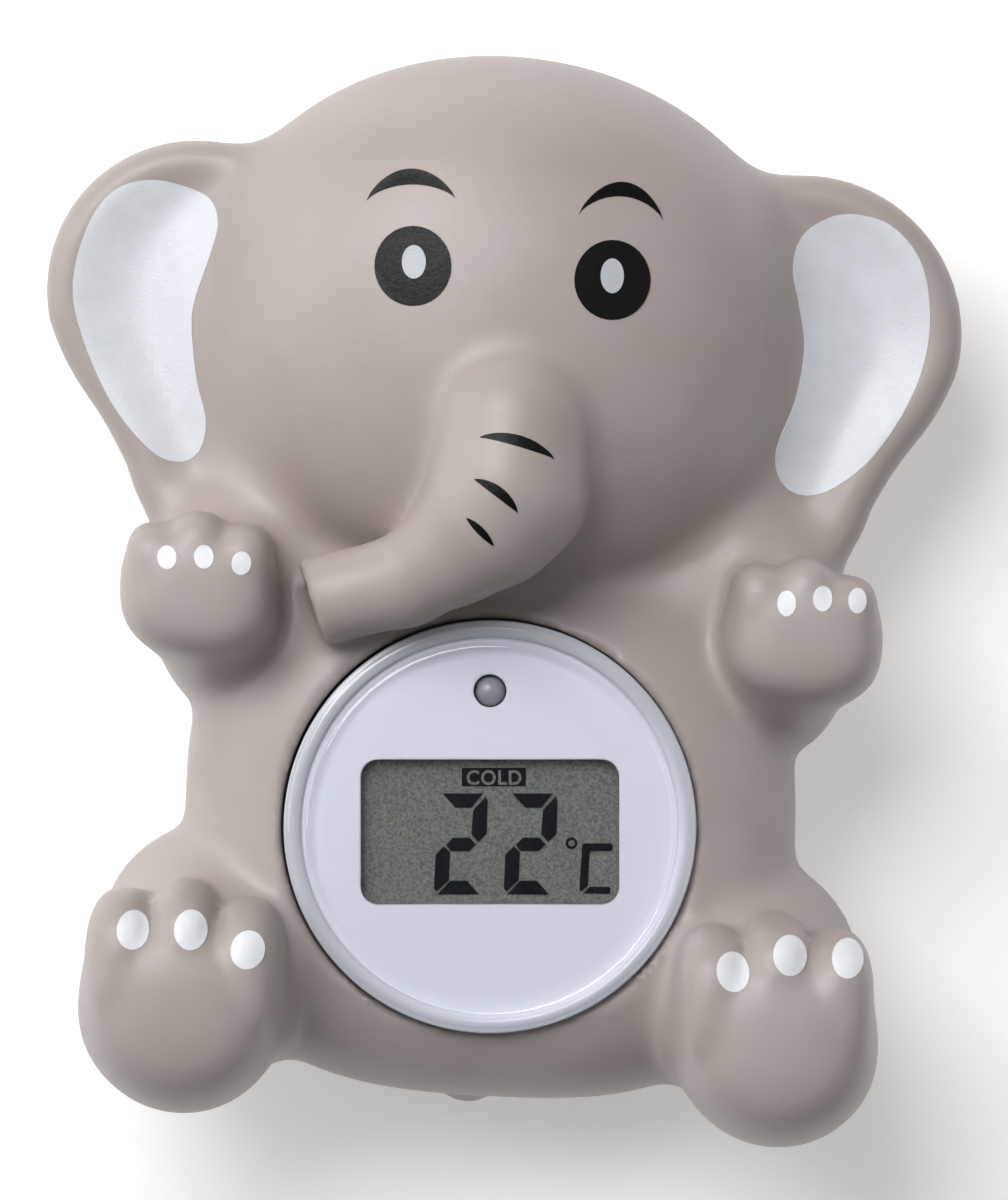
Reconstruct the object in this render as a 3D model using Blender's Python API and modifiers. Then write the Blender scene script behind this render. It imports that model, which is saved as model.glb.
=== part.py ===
"""Baby bath thermometer: a soft elephant float with a sealed digital capsule in its belly.

The elephant lies on its back, the way it floats: +X to the right of someone who reads the
display, +Y to the top of the head, +Z out of the display. The origin is on the resting plane
under the middle of the elephant. Sizes are in metres.
"""

import math

import bmesh
import bpy

# Fits
GAP = 0.0003
SEAL_GAP = 0.0003

# Elephant, overall
BODY_HEIGHT = 0.1008
EAR_SPAN = 0.0863
SKIN = 0.0024
LEAN = 0.030
BACK_BLEND = 0.0030
FINE_VOXEL = 0.0008
CAVITY_VOXEL = 0.0014
BODY_FACES = 5200
CAVITY_FACES = 1100

# Head
HEAD_WIDTH = 0.0556
CHEEK_WIDTH = 0.0536
HEAD_FRONT = 0.0340
HEAD_BACK = -0.0027
BROW_ABOVE_CHIN = 0.0077
CHEEK_BELOW_TOP = 0.0107
HEAD_BLEND = 0.0060

# Ears: three discs in the plane of the ear make its leaf outline, and a dish sinks into its front
EAR_RADIUS = 0.0143
EAR_DROP = 0.0244
EAR_LOBE_RADIUS = 0.0100
EAR_LOBE_PLACE = (0.0256, -0.0145)
EAR_ROOT_RADIUS = 0.0135
EAR_ROOT_PLACE = (0.0195, 0.0000)
EAR_THICKNESS = 0.0066
EAR_DEPTH = 0.0165
EAR_EDGE = 0.0028
EAR_DISH = 0.0020
EAR_RIM = 0.0024
EAR_SLOPE = 0.0045
EAR_FOLD = 0.0285
EAR_BLEND = 0.0070

# Trunk: (x, y above the chin, z, radius) down its middle line, from the brow to the cut end
TRUNK = (
    (0.0012, 0.0163, 0.0305, 0.0070),
    (0.0010, 0.0098, 0.0328, 0.0072),
    (-0.0006, 0.0055, 0.0328, 0.0064),
    (-0.0035, 0.0025, 0.0316, 0.0052),
    (-0.0085, 0.0014, 0.0298, 0.0040),
    (-0.0190, -0.0009, 0.0272, 0.0042),
)
TRUNK_END = (-0.0173, -0.0004)
TRUNK_END_TURN = math.radians(20.7)
TRUNK_BLEND = 0.0020
NOSTRIL_RADIUS = 0.0009

# Torso
TORSO_WIDTH = 0.0583
TORSO_FRONT = 0.0277
TORSO_BACK = -0.0027
TORSO_SQUARENESS = 2.8
TORSO_ABOVE_FEET = 0.0018
BELLY_UNDER_RIM = 0.0068
TORSO_UNDER_CHIN = 0.0045
LIMB_BLEND = 0.0035

# Arms and hands, for the +X side: places are (x, y above the chin, z)
HAND_PLACE = (0.0283, -0.0013, 0.0262)
HAND_RADII = (0.0072, 0.0060, 0.0080)
HAND_SQUARENESS = 2.4
ARM_ROOT = (0.0255, -0.0059, 0.0140)
ARM_ROOT_RADIUS = 0.0070
WRIST_RADIUS = 0.0063
SHOULDER_IN = (0.0120, -0.0027, 0.0130)
SHOULDER_OUT = (0.0245, 0.0028, 0.0150)
SHOULDER_RADIUS = 0.0080
ARM_SHIFT = 0.0005
ARM_TILT = 0.019
FINGERS = ((0.0241, 0.0019), (0.0284, 0.0028), (0.0324, 0.0014))
FINGER_RADII = (0.0027, 0.0034, 0.0064)
FINGER_RISE = 0.0006
FINGER_BLEND = 0.0006

# Legs and feet, for the +X side
FOOT_REACH = 0.0277
FOOT_RADIUS = 0.0093
FOOT_FRONT = 0.0400
FOOT_DEPTH = 0.0230
FOOT_SQUARENESS = 2.4
TOE_LENGTH = 0.0170
HEEL_LENGTH = 0.0170
FOOT_LENGTH = 0.0188
THIGH_RADIUS = 0.0122
THIGH_PLACE = (0.0243, 0.0145)
THIGH_DEPTH = 0.0150
LEG_SHIFT = -0.0006
TOES = ((0.0217, 0.0141), (0.0274, 0.0155), (0.0331, 0.0144))
TOE_RADII = (0.0036, 0.0060, 0.0097)
TOE_BLEND = 0.0007
DIGIT_SQUARENESS = 2.7
HEEL_TAPER = 0.0008

# Tail
TAIL_RADIUS = 0.0034
TAIL_DEPTH = 0.0075
TAIL_SIDE = -0.0016
TAIL_REACH = 0.0012

# Display of the capsule
LCD_WIDTH = 0.0256
LCD_HEIGHT = 0.0160
LCD_DEPTH = 0.0019
LCD_DROP = 0.0005
WINDOW_WIDTH = 0.0242
WINDOW_HEIGHT = 0.0136
WINDOW_CORNER = 0.0017
DIAL_DEPTH = 0.0010
CARRIER_EDGE = 0.00095
CARRIER_DEPTH = 0.0050
CARRIER_SHOULDER = 0.0012
STRIP_LENGTH = 0.0230
STRIP_WIDTH = 0.0018
STRIP_INSET = 0.0003
LED_RADIUS = 0.0015
LED_FLANGE = 0.00025
LED_ABOVE_LCD = 0.0052

# Battery end of the capsule
CELL_RADIUS = 0.0100
CELL_DEPTH = 0.0032
CELL_PLAY = 0.0004
SEAL_WIDTH = 0.0006
SEAL_DEPTH = 0.0008
SEAL_LAND = 0.00035
SCREW_RADIUS = 0.0007
SCREW_HEAD_RADIUS = 0.0014
SCREW_HEAD_DEPTH = 0.0006
SCREW_LENGTH = 0.0050
SCREW_PLAY = 0.0003
SCREW_COUNT = 3
BOSS_WALL = 0.0016
BOSS_BACKING = 0.0013
DOOR_DEPTH = 0.0015
DOOR_INSET = 0.0009
DOOR_EDGE = 0.0016
CONTACT_DEPTH = 0.0004
CONTACT_WIDTH = 0.0030
SENSOR_RADIUS = 0.0012
SENSOR_WALL = 0.0003
SENSOR_OFFSET = 0.0004

# Housing and clear cover of the capsule
HOUSING_WALL = 0.0014
HOUSING_FLOOR = 0.0012
FLANGE_DEPTH = 0.0020
FLANGE_LAND = 0.0006
FLANGE_INNER_LAND = 0.0008
LEDGE = 0.0024
RIM_WIDTH = 0.0018
RIM_DEPTH = 0.0034
RIM_ROUND = 0.0006
RIM_ABOVE_BELLY = 0.0006
BELLY_AT_RIM = 0.0260
LENS_RISE = 0.0016
LENS_DEPTH = 0.0022
LENS_ROUND = 0.0008
COVER_WALL = 0.0002
CHIN_TO_RIM = 0.0019
CAPSULE_TURN = math.radians(3.3)
BOARD_DEPTH = 0.0010
CHIP_RADIUS = 0.0040
CHIP_DEPTH = 0.0016

# Facets round a turned piece
WIDE_STEPS = 36
SMALL_STEPS = 18
SCREW_STEPS = 10

# Radii of the capsule, from the cell and the display outwards
BAY_RADIUS = CELL_RADIUS + CELL_PLAY
GROOVE_WIDTH = SEAL_WIDTH + 2 * SEAL_GAP
DOOR_SEAL_RADIUS = BAY_RADIUS + SEAL_LAND + GROOVE_WIDTH / 2
SCREW_HOLE = SCREW_RADIUS + SCREW_PLAY
SCREW_CIRCLE = DOOR_SEAL_RADIUS + GROOVE_WIDTH / 2 + SEAL_LAND + SCREW_HOLE
BOSS_RADIUS = SCREW_HOLE + BOSS_WALL - SCREW_PLAY
HOUSING_RADIUS = SCREW_CIRCLE + BOSS_RADIUS + BOSS_BACKING
HOUSING_INSIDE = HOUSING_RADIUS - HOUSING_WALL
DOOR_RADIUS = SCREW_CIRCLE + DOOR_EDGE
SENSOR_CIRCLE = SCREW_CIRCLE + SENSOR_OFFSET
CARRIER_RADIUS = math.hypot(LCD_WIDTH / 2, LCD_HEIGHT / 2 + LCD_DROP) + CARRIER_EDGE
COUNTERBORE = CARRIER_RADIUS + GAP
RIM_RADIUS = max(
    HOUSING_RADIUS + LEDGE,
    COUNTERBORE + FLANGE_INNER_LAND + GROOVE_WIDTH + FLANGE_LAND,
)
FLANGE_SEAL_RADIUS = RIM_RADIUS - FLANGE_LAND - GROOVE_WIDTH / 2
LENS_RADIUS = RIM_RADIUS - RIM_WIDTH
COVER_INSIDE = LENS_RADIUS - COVER_WALL
RECESS_RADIUS = RIM_RADIUS + GAP

# Places up the elephant: the head is as long as the capsule in the belly leaves it
HEAD_TOP = BODY_HEIGHT / 2
FEET_BOTTOM = -BODY_HEIGHT / 2
CAPSULE_Y = FEET_BOTTOM + TORSO_ABOVE_FEET + BELLY_UNDER_RIM + RIM_RADIUS
CHIN = CAPSULE_Y + RIM_RADIUS + CHIN_TO_RIM
BROW_LENGTH = HEAD_TOP - CHIN - BROW_ABOVE_CHIN
CHEEK_LENGTH = HEAD_TOP - CHIN - CHEEK_BELOW_TOP
EAR_RISE = HEAD_TOP - EAR_DROP
CAPSULE_X = LEAN * (EAR_RISE - CAPSULE_Y)

# Levels of the capsule, from the resting plane up
HOUSING_BOTTOM = SKIN + GAP
DOOR_TOP = HOUSING_BOTTOM - GAP
DOOR_BOTTOM = DOOR_TOP - DOOR_DEPTH
SEAL_GROOVE_DEPTH = SEAL_DEPTH + SEAL_GAP
CELL_BOTTOM = DOOR_TOP + GAP
CELL_TOP = CELL_BOTTOM + CELL_DEPTH
CONTACT_BOTTOM = CELL_TOP + GAP
BAY_CEILING = CONTACT_BOTTOM + CONTACT_DEPTH + GAP
FLOOR = BAY_CEILING + HOUSING_FLOOR
POCKET_FLOOR = HOUSING_BOTTOM + SEAL_GROOVE_DEPTH + HOUSING_FLOOR

# Levels of the capsule, from the lens down
RIM_TOP = BELLY_AT_RIM + RIM_ABOVE_BELLY
LENS_TOP = RIM_TOP + LENS_RISE
RIM_BOTTOM = RIM_TOP - RIM_DEPTH
COVER_CEILING = LENS_TOP - LENS_DEPTH
DIAL_TOP = COVER_CEILING - GAP
DIAL_BOTTOM = DIAL_TOP - DIAL_DEPTH
LCD_TOP = DIAL_BOTTOM - GAP
LCD_BOTTOM = LCD_TOP - LCD_DEPTH
POCKET_LEVEL = LCD_BOTTOM - GAP
CARRIER_BOTTOM = LCD_TOP - CARRIER_DEPTH
BOARD_TOP = CARRIER_BOTTOM - GAP
BOARD_BOTTOM = BOARD_TOP - BOARD_DEPTH
BOSS_TOP = BOARD_BOTTOM - GAP
FLANGE_TOP = RIM_BOTTOM - GAP
FLANGE_BOTTOM = FLANGE_TOP - FLANGE_DEPTH
LEDGE_TOP = FLANGE_BOTTOM - GAP
SHOULDER_LEVEL = FLANGE_TOP - CARRIER_SHOULDER
LED_Y = LCD_HEIGHT / 2 - LCD_DROP + LED_ABOVE_LCD

OBJECT_NAME = "baby_bath_thermometer"


def material(name, colour, roughness=0.5, metallic=0.0, transmission=0.0):
    found = bpy.data.materials.new(name)
    found.use_nodes = True
    shader = found.node_tree.nodes["Principled BSDF"]
    shader.inputs["Base Color"].default_value = (*colour, 1.0)
    shader.inputs["Roughness"].default_value = roughness
    shader.inputs["Metallic"].default_value = metallic
    shader.inputs["Transmission Weight"].default_value = transmission
    found.diffuse_color = (*colour, 1.0)
    return found


def collection(name, hidden=False):
    found = bpy.data.collections.new(name)
    found.hide_render = hidden
    bpy.context.scene.collection.children.link(found)
    return found


class Field:
    """A distance field in a geometry node tree: metres to the skin, negative inside it.

    The soft body leans a little, turning about the middle of its ears, so the shapes are drawn
    upright in `place`, which leans with it. A pair of shapes is drawn once in `side`, which folds
    one side onto the other.
    """

    def __init__(self, name):
        self.tree = bpy.data.node_groups.new(name, "GeometryNodeTree")
        self.tree.interface.new_socket("Geometry", in_out="OUTPUT", socket_type="NodeSocketGeometry")
        self.point = self.tree.nodes.new("GeometryNodeInputPosition").outputs[0]
        x, y, z = self.parts(self.point)
        x = self.maths("MULTIPLY_ADD", self.maths("SUBTRACT", y, EAR_RISE), LEAN, x)
        self.place = self.joined(x, y, z)
        self.side = self.folded()

    def connect(self, node, values):
        for socket, value in zip(node.inputs, values):
            if isinstance(value, bpy.types.NodeSocket):
                self.tree.links.new(value, socket)
            else:
                socket.default_value = value
        return node

    def maths(self, operation, *values):
        node = self.tree.nodes.new("ShaderNodeMath")
        node.operation = operation
        return self.connect(node, values).outputs[0]

    def vector(self, operation, *values):
        node = self.tree.nodes.new("ShaderNodeVectorMath")
        node.operation = operation
        scalar = operation in ("LENGTH", "DOT_PRODUCT")
        return self.connect(node, values).outputs["Value" if scalar else "Vector"]

    def scaled(self, vector, factor):
        node = self.tree.nodes.new("ShaderNodeVectorMath")
        node.operation = "SCALE"
        self.connect(node, (vector,))
        self.tree.links.new(factor, node.inputs["Scale"])
        return node.outputs["Vector"]

    def parts(self, vector):
        node = self.connect(self.tree.nodes.new("ShaderNodeSeparateXYZ"), (vector,))
        return tuple(node.outputs)

    def joined(self, x, y, z):
        return self.connect(self.tree.nodes.new("ShaderNodeCombineXYZ"), (x, y, z)).outputs[0]

    def folded(self, shift=0.0, tilt=0.0):
        """Both sides folded onto +X, about a fold that can lie aside and stand askew."""
        x, y, z = self.parts(self.place)
        x = self.maths("SUBTRACT", x, shift)
        y = self.maths("MULTIPLY_ADD", x, tilt, y)
        return self.joined(self.maths("ABSOLUTE", x), y, z)

    def ball(self, place, centre, radii, squareness=2.0):
        """An ellipsoid, or with a squareness over 2 one with flatter sides."""
        nudge = 1e-7
        offset = self.vector("SUBTRACT", place, tuple(c + nudge for c in centre))
        ratio = self.vector("ABSOLUTE", self.vector("DIVIDE", offset, radii))
        power = self.vector("POWER", ratio, (squareness - 1,) * 3)
        size = self.maths("POWER", self.vector("DOT_PRODUCT", ratio, power), 1 / squareness)
        slope = self.vector("LENGTH", self.vector("DIVIDE", power, radii))
        stretch = self.maths("POWER", size, squareness - 1)
        over = self.maths("MULTIPLY", self.maths("SUBTRACT", size, 1.0), stretch)
        return self.maths("DIVIDE", over, slope)

    def limb(self, place, start, end, start_radius, end_radius):
        """A round rod between two points whose radius changes evenly along it."""
        along = tuple(b - a for a, b in zip(start, end))
        length_squared = sum(a * a for a in along)
        offset = self.vector("SUBTRACT", place, start)
        share = self.maths("DIVIDE", self.vector("DOT_PRODUCT", offset, along), length_squared)
        share = self.maths("MINIMUM", self.maths("MAXIMUM", share, 0.0), 1.0)
        middle = self.scaled(along, share)
        away = self.vector("LENGTH", self.vector("SUBTRACT", offset, middle))
        radius = self.maths("MULTIPLY_ADD", share, end_radius - start_radius, start_radius)
        return self.maths("SUBTRACT", away, radius)

    def blend(self, first, second, width):
        return self.maths("SMOOTH_MIN", first, second, width)

    def keep(self, first, second, width):
        """What lies inside both, with a rounded edge between them."""
        return self.maths("SMOOTH_MAX", first, second, width)

    def carve(self, first, second, width):
        return self.keep(first, self.maths("MULTIPLY", second, -1.0), width)

    def mesh(self, field, low, high, voxel, depth=0.0):
        """The surface that lies `depth` under the skin, as the output of the tree."""
        density = self.maths("SUBTRACT", -depth, field)
        cube = self.tree.nodes.new("GeometryNodeVolumeCube")
        self.tree.links.new(density, cube.inputs["Density"])
        cube.inputs["Background"].default_value = -voxel
        cube.inputs["Min"].default_value = low
        cube.inputs["Max"].default_value = high
        for name, a, b in zip("XYZ", low, high):
            cube.inputs["Resolution " + name].default_value = round((b - a) / voxel) + 1
        skin = self.tree.nodes.new("GeometryNodeVolumeToMesh")
        skin.inputs["Threshold"].default_value = 0.0
        self.tree.links.new(cube.outputs[0], skin.inputs[0])
        output = self.tree.nodes.new("NodeGroupOutput")
        self.tree.links.new(skin.outputs[0], output.inputs[0])


def ear_outline(field, x, y):
    """Distance to the leaf outline of an ear, in the plane of the ear."""
    flat = field.joined(x, y, 0.0)
    tip = (EAR_SPAN / 2 - EAR_RADIUS, EAR_RISE, 0.0)
    lobe = (EAR_LOBE_PLACE[0], EAR_RISE + EAR_LOBE_PLACE[1], 0.0)
    inner = (EAR_ROOT_PLACE[0], EAR_RISE + EAR_ROOT_PLACE[1], 0.0)
    leaf = field.limb(flat, tip, lobe, EAR_RADIUS, EAR_LOBE_RADIUS)
    root = field.limb(flat, tip, inner, EAR_RADIUS, EAR_ROOT_RADIUS)
    return field.blend(leaf, root, EAR_RIM)


def ear(field):
    """A plate with a round edge, whose front sinks inside the rim and beside the head."""
    x, y, z = field.parts(field.side)
    outline = ear_outline(field, x, y)
    head = field.joined(x, field.maths("SUBTRACT", y, (HEAD_TOP + CHIN) / 2), 0.0)
    beside_head = field.maths("SUBTRACT", EAR_FOLD, field.vector("LENGTH", head))
    dish = field.keep(field.maths("ADD", outline, EAR_RIM), beside_head, EAR_RIM)
    sink = field.maths("MULTIPLY", field.maths("DIVIDE", dish, EAR_SLOPE), -EAR_DISH)
    sink = field.maths("SMOOTH_MAX", sink, 0.0, EAR_DISH)
    sink = field.maths("SMOOTH_MIN", sink, EAR_DISH, EAR_DISH)
    half = EAR_THICKNESS / 2 - EAR_EDGE
    height = field.maths("SUBTRACT", z, EAR_DEPTH)
    front = field.maths("ADD", field.maths("SUBTRACT", height, half), sink)
    back = field.maths("SUBTRACT", field.maths("MULTIPLY", height, -1.0), half)
    across = field.maths("ADD", outline, EAR_EDGE)
    thick = field.maths("MAXIMUM", front, back)
    corner = field.joined(field.maths("MAXIMUM", across, 0.0), field.maths("MAXIMUM", thick, 0.0), 0.0)
    inside = field.maths("MINIMUM", field.maths("MAXIMUM", across, thick), 0.0)
    edge = field.maths("ADD", field.vector("LENGTH", corner), inside)
    return field.maths("SUBTRACT", edge, EAR_EDGE)


def head(field):
    middle = (HEAD_FRONT + HEAD_BACK) / 2
    depth = (HEAD_FRONT - HEAD_BACK) / 2
    brow = (HEAD_WIDTH / 2, BROW_LENGTH / 2, depth)
    cheeks = (CHEEK_WIDTH / 2, CHEEK_LENGTH / 2, depth)
    upper = field.ball(field.place, (0.0, HEAD_TOP - BROW_LENGTH / 2, middle), brow)
    lower = field.ball(field.place, (0.0, CHIN + CHEEK_LENGTH / 2, middle), cheeks)
    return field.blend(upper, lower, HEAD_BLEND)


def torso(field):
    bottom = FEET_BOTTOM + TORSO_ABOVE_FEET
    top = CHIN + TORSO_UNDER_CHIN
    radii = (TORSO_WIDTH / 2, (top - bottom) / 2, (TORSO_FRONT - TORSO_BACK) / 2)
    centre = (0.0, (top + bottom) / 2, (TORSO_FRONT + TORSO_BACK) / 2)
    return field.ball(field.place, centre, radii, TORSO_SQUARENESS)


def from_chin(place):
    """A place whose y is measured from the chin, in the shared frame."""
    x, y, z = place
    return x, CHIN + y, z


def with_digits(field, place, shape, digits, radii, level, width):
    """The shape with a row of short round digits, which leave creases between them."""
    for x, y in digits:
        digit = field.ball(place, (x, y, level), radii, DIGIT_SQUARENESS)
        shape = field.blend(shape, digit, width)
    return shape


def arm(field):
    place = field.folded(ARM_SHIFT, ARM_TILT)
    root = from_chin(ARM_ROOT)
    middle = from_chin(HAND_PLACE)
    wrist = field.limb(place, root, middle, ARM_ROOT_RADIUS, WRIST_RADIUS)
    hand = field.ball(place, middle, HAND_RADII, HAND_SQUARENESS)
    hand = field.blend(wrist, hand, LIMB_BLEND)
    fingers = [(x, CHIN + y) for x, y in FINGERS]
    level = middle[2] + FINGER_RISE
    return with_digits(field, place, hand, fingers, FINGER_RADII, level, FINGER_BLEND)


def shoulder(field):
    """The slope that fills in between the head, the ear and the arm."""
    start = from_chin(SHOULDER_IN)
    end = from_chin(SHOULDER_OUT)
    return field.limb(field.side, start, end, SHOULDER_RADIUS, SHOULDER_RADIUS)


def leg(field):
    """A thigh with a foot that shows its sole, broad at the toes and narrower at the heel."""
    place = field.folded(LEG_SHIFT)
    depth = FOOT_DEPTH / 2
    level = FOOT_FRONT - depth
    toes = (FOOT_REACH, FEET_BOTTOM + FOOT_LENGTH - TOE_LENGTH / 2, level)
    heel = (FOOT_REACH, FEET_BOTTOM + HEEL_LENGTH / 2, level)
    front = field.ball(place, toes, (FOOT_RADIUS, TOE_LENGTH / 2, depth), FOOT_SQUARENESS)
    back = field.ball(place, heel, (FOOT_RADIUS - HEEL_TAPER, HEEL_LENGTH / 2, depth))
    foot = field.blend(front, back, LIMB_BLEND)
    thigh = (THIGH_PLACE[0], FEET_BOTTOM + THIGH_PLACE[1], THIGH_DEPTH)
    shin = field.limb(place, thigh, heel, THIGH_RADIUS, FOOT_RADIUS - 2 * HEEL_TAPER)
    foot = field.blend(foot, shin, LIMB_BLEND)
    digits = [(x, FEET_BOTTOM + y) for x, y in TOES]
    return with_digits(field, place, foot, digits, TOE_RADII, level, TOE_BLEND)


def trunk_rods(field, line):
    shape = None
    for (*start, start_radius), (*end, end_radius) in zip(line, line[1:]):
        start = from_chin(start)
        end = from_chin(end)
        rod = field.limb(field.place, start, end, start_radius, end_radius)
        shape = rod if shape is None else field.blend(shape, rod, TRUNK_BLEND)
    return shape


def trunk_end(field):
    """The free end of the trunk, cut square across, with a nostril crease."""
    shape = trunk_rods(field, TRUNK[1:])
    outward = (-math.cos(TRUNK_END_TURN), -math.sin(TRUNK_END_TURN), 0.0)
    mouth = from_chin((*TRUNK_END, TRUNK[-1][2] + TRUNK[-1][3] / 2))
    from_end = field.vector("SUBTRACT", field.place, mouth)
    shape = field.keep(shape, field.vector("DOT_PRODUCT", from_end, outward), NOSTRIL_RADIUS)
    across = (mouth[0] - outward[1] * NOSTRIL_RADIUS, mouth[1] + NOSTRIL_RADIUS, mouth[2])
    nostril = field.limb(field.place, mouth, across, NOSTRIL_RADIUS, NOSTRIL_RADIUS)
    return field.carve(shape, nostril, NOSTRIL_RADIUS)


def tail(field):
    end = (TAIL_SIDE, FEET_BOTTOM + TORSO_ABOVE_FEET - TAIL_REACH + TAIL_RADIUS, TAIL_DEPTH)
    root = (TAIL_SIDE, end[1] + 2 * TAIL_RADIUS, TAIL_DEPTH)
    return field.limb(field.place, root, end, TAIL_RADIUS, TAIL_RADIUS)


def flattened(field, shape):
    """The back is flat where the elephant lies on it."""
    depth = field.maths("MULTIPLY", field.parts(field.place)[2], -1.0)
    return field.keep(shape, depth, BACK_BLEND)


def core(field):
    """Everything that is hollow: all but the ears and the tail."""
    shape = field.blend(head(field), torso(field), HEAD_BLEND)
    shape = field.blend(shape, shoulder(field), HEAD_BLEND)
    shape = field.blend(shape, leg(field), LIMB_BLEND)
    return field.blend(shape, arm(field), LIMB_BLEND)


def soft_lip(field, shape):
    """The mouth of the recess for the capsule rolls in with a round edge."""
    x, y, z = field.parts(field.point)
    x = field.maths("SUBTRACT", x, CAPSULE_X)
    from_axis = field.joined(x, field.maths("SUBTRACT", y, CAPSULE_Y), 0.0)
    recess = field.maths("SUBTRACT", field.vector("LENGTH", from_axis), RECESS_RADIUS)
    recess = field.maths("MAXIMUM", recess, field.maths("SUBTRACT", LEDGE_TOP, z))
    return field.carve(shape, recess, RIM_WIDTH)


def sculpted(name, build, voxel, faces, depth, where):
    """The object that the field's skin makes, with its triangles thinned out to `faces`."""
    field = Field(name)
    margin = 4 * voxel
    half_width = EAR_SPAN / 2 + margin
    half_height = BODY_HEIGHT / 2 + margin
    low = (-half_width, -half_height, -margin)
    high = (half_width, half_height, max(FOOT_FRONT, LENS_TOP, HEAD_FRONT) + margin)
    field.mesh(build(field), low, high, voxel, depth)
    rough = bpy.data.objects.new(name + "_field", bpy.data.meshes.new(name + "_field"))
    where.objects.link(rough)
    rough.modifiers.new("Field", "NODES").node_group = field.tree
    bpy.context.view_layer.update()
    count = len(rough.evaluated_get(bpy.context.evaluated_depsgraph_get()).data.polygons)
    thin = rough.modifiers.new("Thin", "DECIMATE")
    thin.ratio = min(1.0, faces / (2 * count))
    thin.use_collapse_triangulate = True
    bpy.context.view_layer.update()
    graph = bpy.context.evaluated_depsgraph_get()
    mesh = bpy.data.meshes.new_from_object(rough.evaluated_get(graph))
    mesh.name = name
    bpy.data.objects.remove(rough)
    bpy.data.node_groups.remove(field.tree)
    mesh.shade_smooth()
    found = bpy.data.objects.new(name, mesh)
    where.objects.link(found)
    return found


def seat(x, y):
    """A place of the capsule, which is pushed into the body turned a little, in the shared frame."""
    cos, sin = math.cos(CAPSULE_TURN), math.sin(CAPSULE_TURN)
    return CAPSULE_X + x * cos - y * sin, CAPSULE_Y + x * sin + y * cos


def turned(name, profile, steps, where, place=(0.0, 0.0), closed=False):
    """A profile of (radius, height) points turned round an upright axis at a place of the capsule.

    The profile runs down its outer side, from top to bottom.
    """
    mesh = bpy.data.meshes.new(name)
    edges = [(n, n + 1) for n in range(len(profile) - 1)]
    if closed:
        edges.append((len(profile) - 1, 0))
    mesh.from_pydata([(r, 0.0, z) for r, z in profile], edges, [])
    found = bpy.data.objects.new(name, mesh)
    found.location = (*seat(*place), 0.0)
    where.objects.link(found)
    screw = found.modifiers.new("Turn", "SCREW")
    screw.steps = steps
    screw.render_steps = steps
    screw.use_merge_vertices = True
    screw.merge_threshold = 1e-6
    screw.use_smooth_shade = True
    return found


def solid(name, build, centre, where):
    """An object at a place of the capsule, turned with it, whose mesh a bmesh operator makes."""
    shape = bmesh.new()
    build(shape)
    mesh = bpy.data.meshes.new(name)
    shape.to_mesh(mesh)
    shape.free()
    found = bpy.data.objects.new(name, mesh)
    x, y, z = centre
    found.location = (*seat(x, y), z)
    found.rotation_euler.z = CAPSULE_TURN
    where.objects.link(found)
    return found


def rod(name, x, y, low, high, radius, steps, where):
    """A plain upright cylinder at a place of the capsule."""

    def build(shape):
        bmesh.ops.create_cone(
            shape, cap_ends=True, segments=steps, radius1=radius, radius2=radius, depth=high - low
        )

    return solid(name, build, (x, y, (low + high) / 2), where)


def block(name, centre, size, where, corner=0.0):
    """A box, its upright edges rounded where a corner radius is given."""

    def build(shape):
        bmesh.ops.create_cube(shape, size=1.0)
        bmesh.ops.scale(shape, vec=size, verts=shape.verts)
        if corner:
            upright = [e for e in shape.edges if abs(e.verts[0].co.z - e.verts[1].co.z) > size[2] / 2]
            bmesh.ops.bevel(shape, geom=upright, offset=corner, segments=4, profile=0.5, affect="EDGES")

    return solid(name, build, centre, where)


def combine(target, other, operation):
    step = target.modifiers.new(other.name, "BOOLEAN")
    step.operation = operation
    step.solver = "EXACT"
    step.object = other


def cut(target, *others):
    for other in others:
        combine(target, other, "DIFFERENCE")


def join(target, *others):
    for other in others:
        combine(target, other, "UNION")


def finish(found, coat):
    found.data.materials.clear()
    found.data.materials.append(coat)
    return found


def screw_places():
    """The screws stand evenly round the capsule, clear of the indicator above the display."""
    for n in range(SCREW_COUNT):
        turn = math.radians(30) + 2 * math.pi * n / SCREW_COUNT
        yield SCREW_CIRCLE * math.cos(turn), SCREW_CIRCLE * math.sin(turn)


def elephant_body(parts, cutters):
    def skin(field):
        shape = field.blend(core(field), ear(field), EAR_BLEND)
        shape = field.blend(shape, trunk_rods(field, TRUNK[:2]), LIMB_BLEND)
        shape = field.blend(shape, trunk_end(field), TRUNK_BLEND)
        shape = field.blend(shape, tail(field), TRUNK_BLEND)
        return soft_lip(field, flattened(field, shape))

    def hollow(field):
        return flattened(field, core(field))

    body = sculpted("elephant_body", skin, FINE_VOXEL, BODY_FACES, 0.0, parts)
    cavity = sculpted("cavity", hollow, CAVITY_VOXEL, CAVITY_FACES, SKIN, cutters)
    above = HEAD_FRONT
    collar = rod("collar", 0, 0, LEDGE_TOP - SKIN, above, RECESS_RADIUS + SKIN, WIDE_STEPS, cutters)
    cut(cavity, collar)
    recess = rod("recess", 0, 0, LEDGE_TOP, above, RECESS_RADIUS, WIDE_STEPS, cutters)
    bore = rod("bore", 0, 0, HOUSING_BOTTOM, above, HOUSING_RADIUS + GAP, WIDE_STEPS, cutters)
    rear_hole = rod("rear_hole", 0, 0, -SKIN, 2 * SKIN, DOOR_RADIUS + GAP, WIDE_STEPS, cutters)
    cut(body, cavity, recess, bore, rear_hole)
    return finish(body, material("soft_grey_pvc", (0.47, 0.42, 0.39), 0.55))


def arc(centre, radius, start, end, steps):
    """Points on an arc, from one angle in degrees to another."""
    for n in range(steps + 1):
        turn = math.radians(start + (end - start) * n / steps)
        yield centre[0] + radius * math.cos(turn), centre[1] + radius * math.sin(turn)


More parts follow.
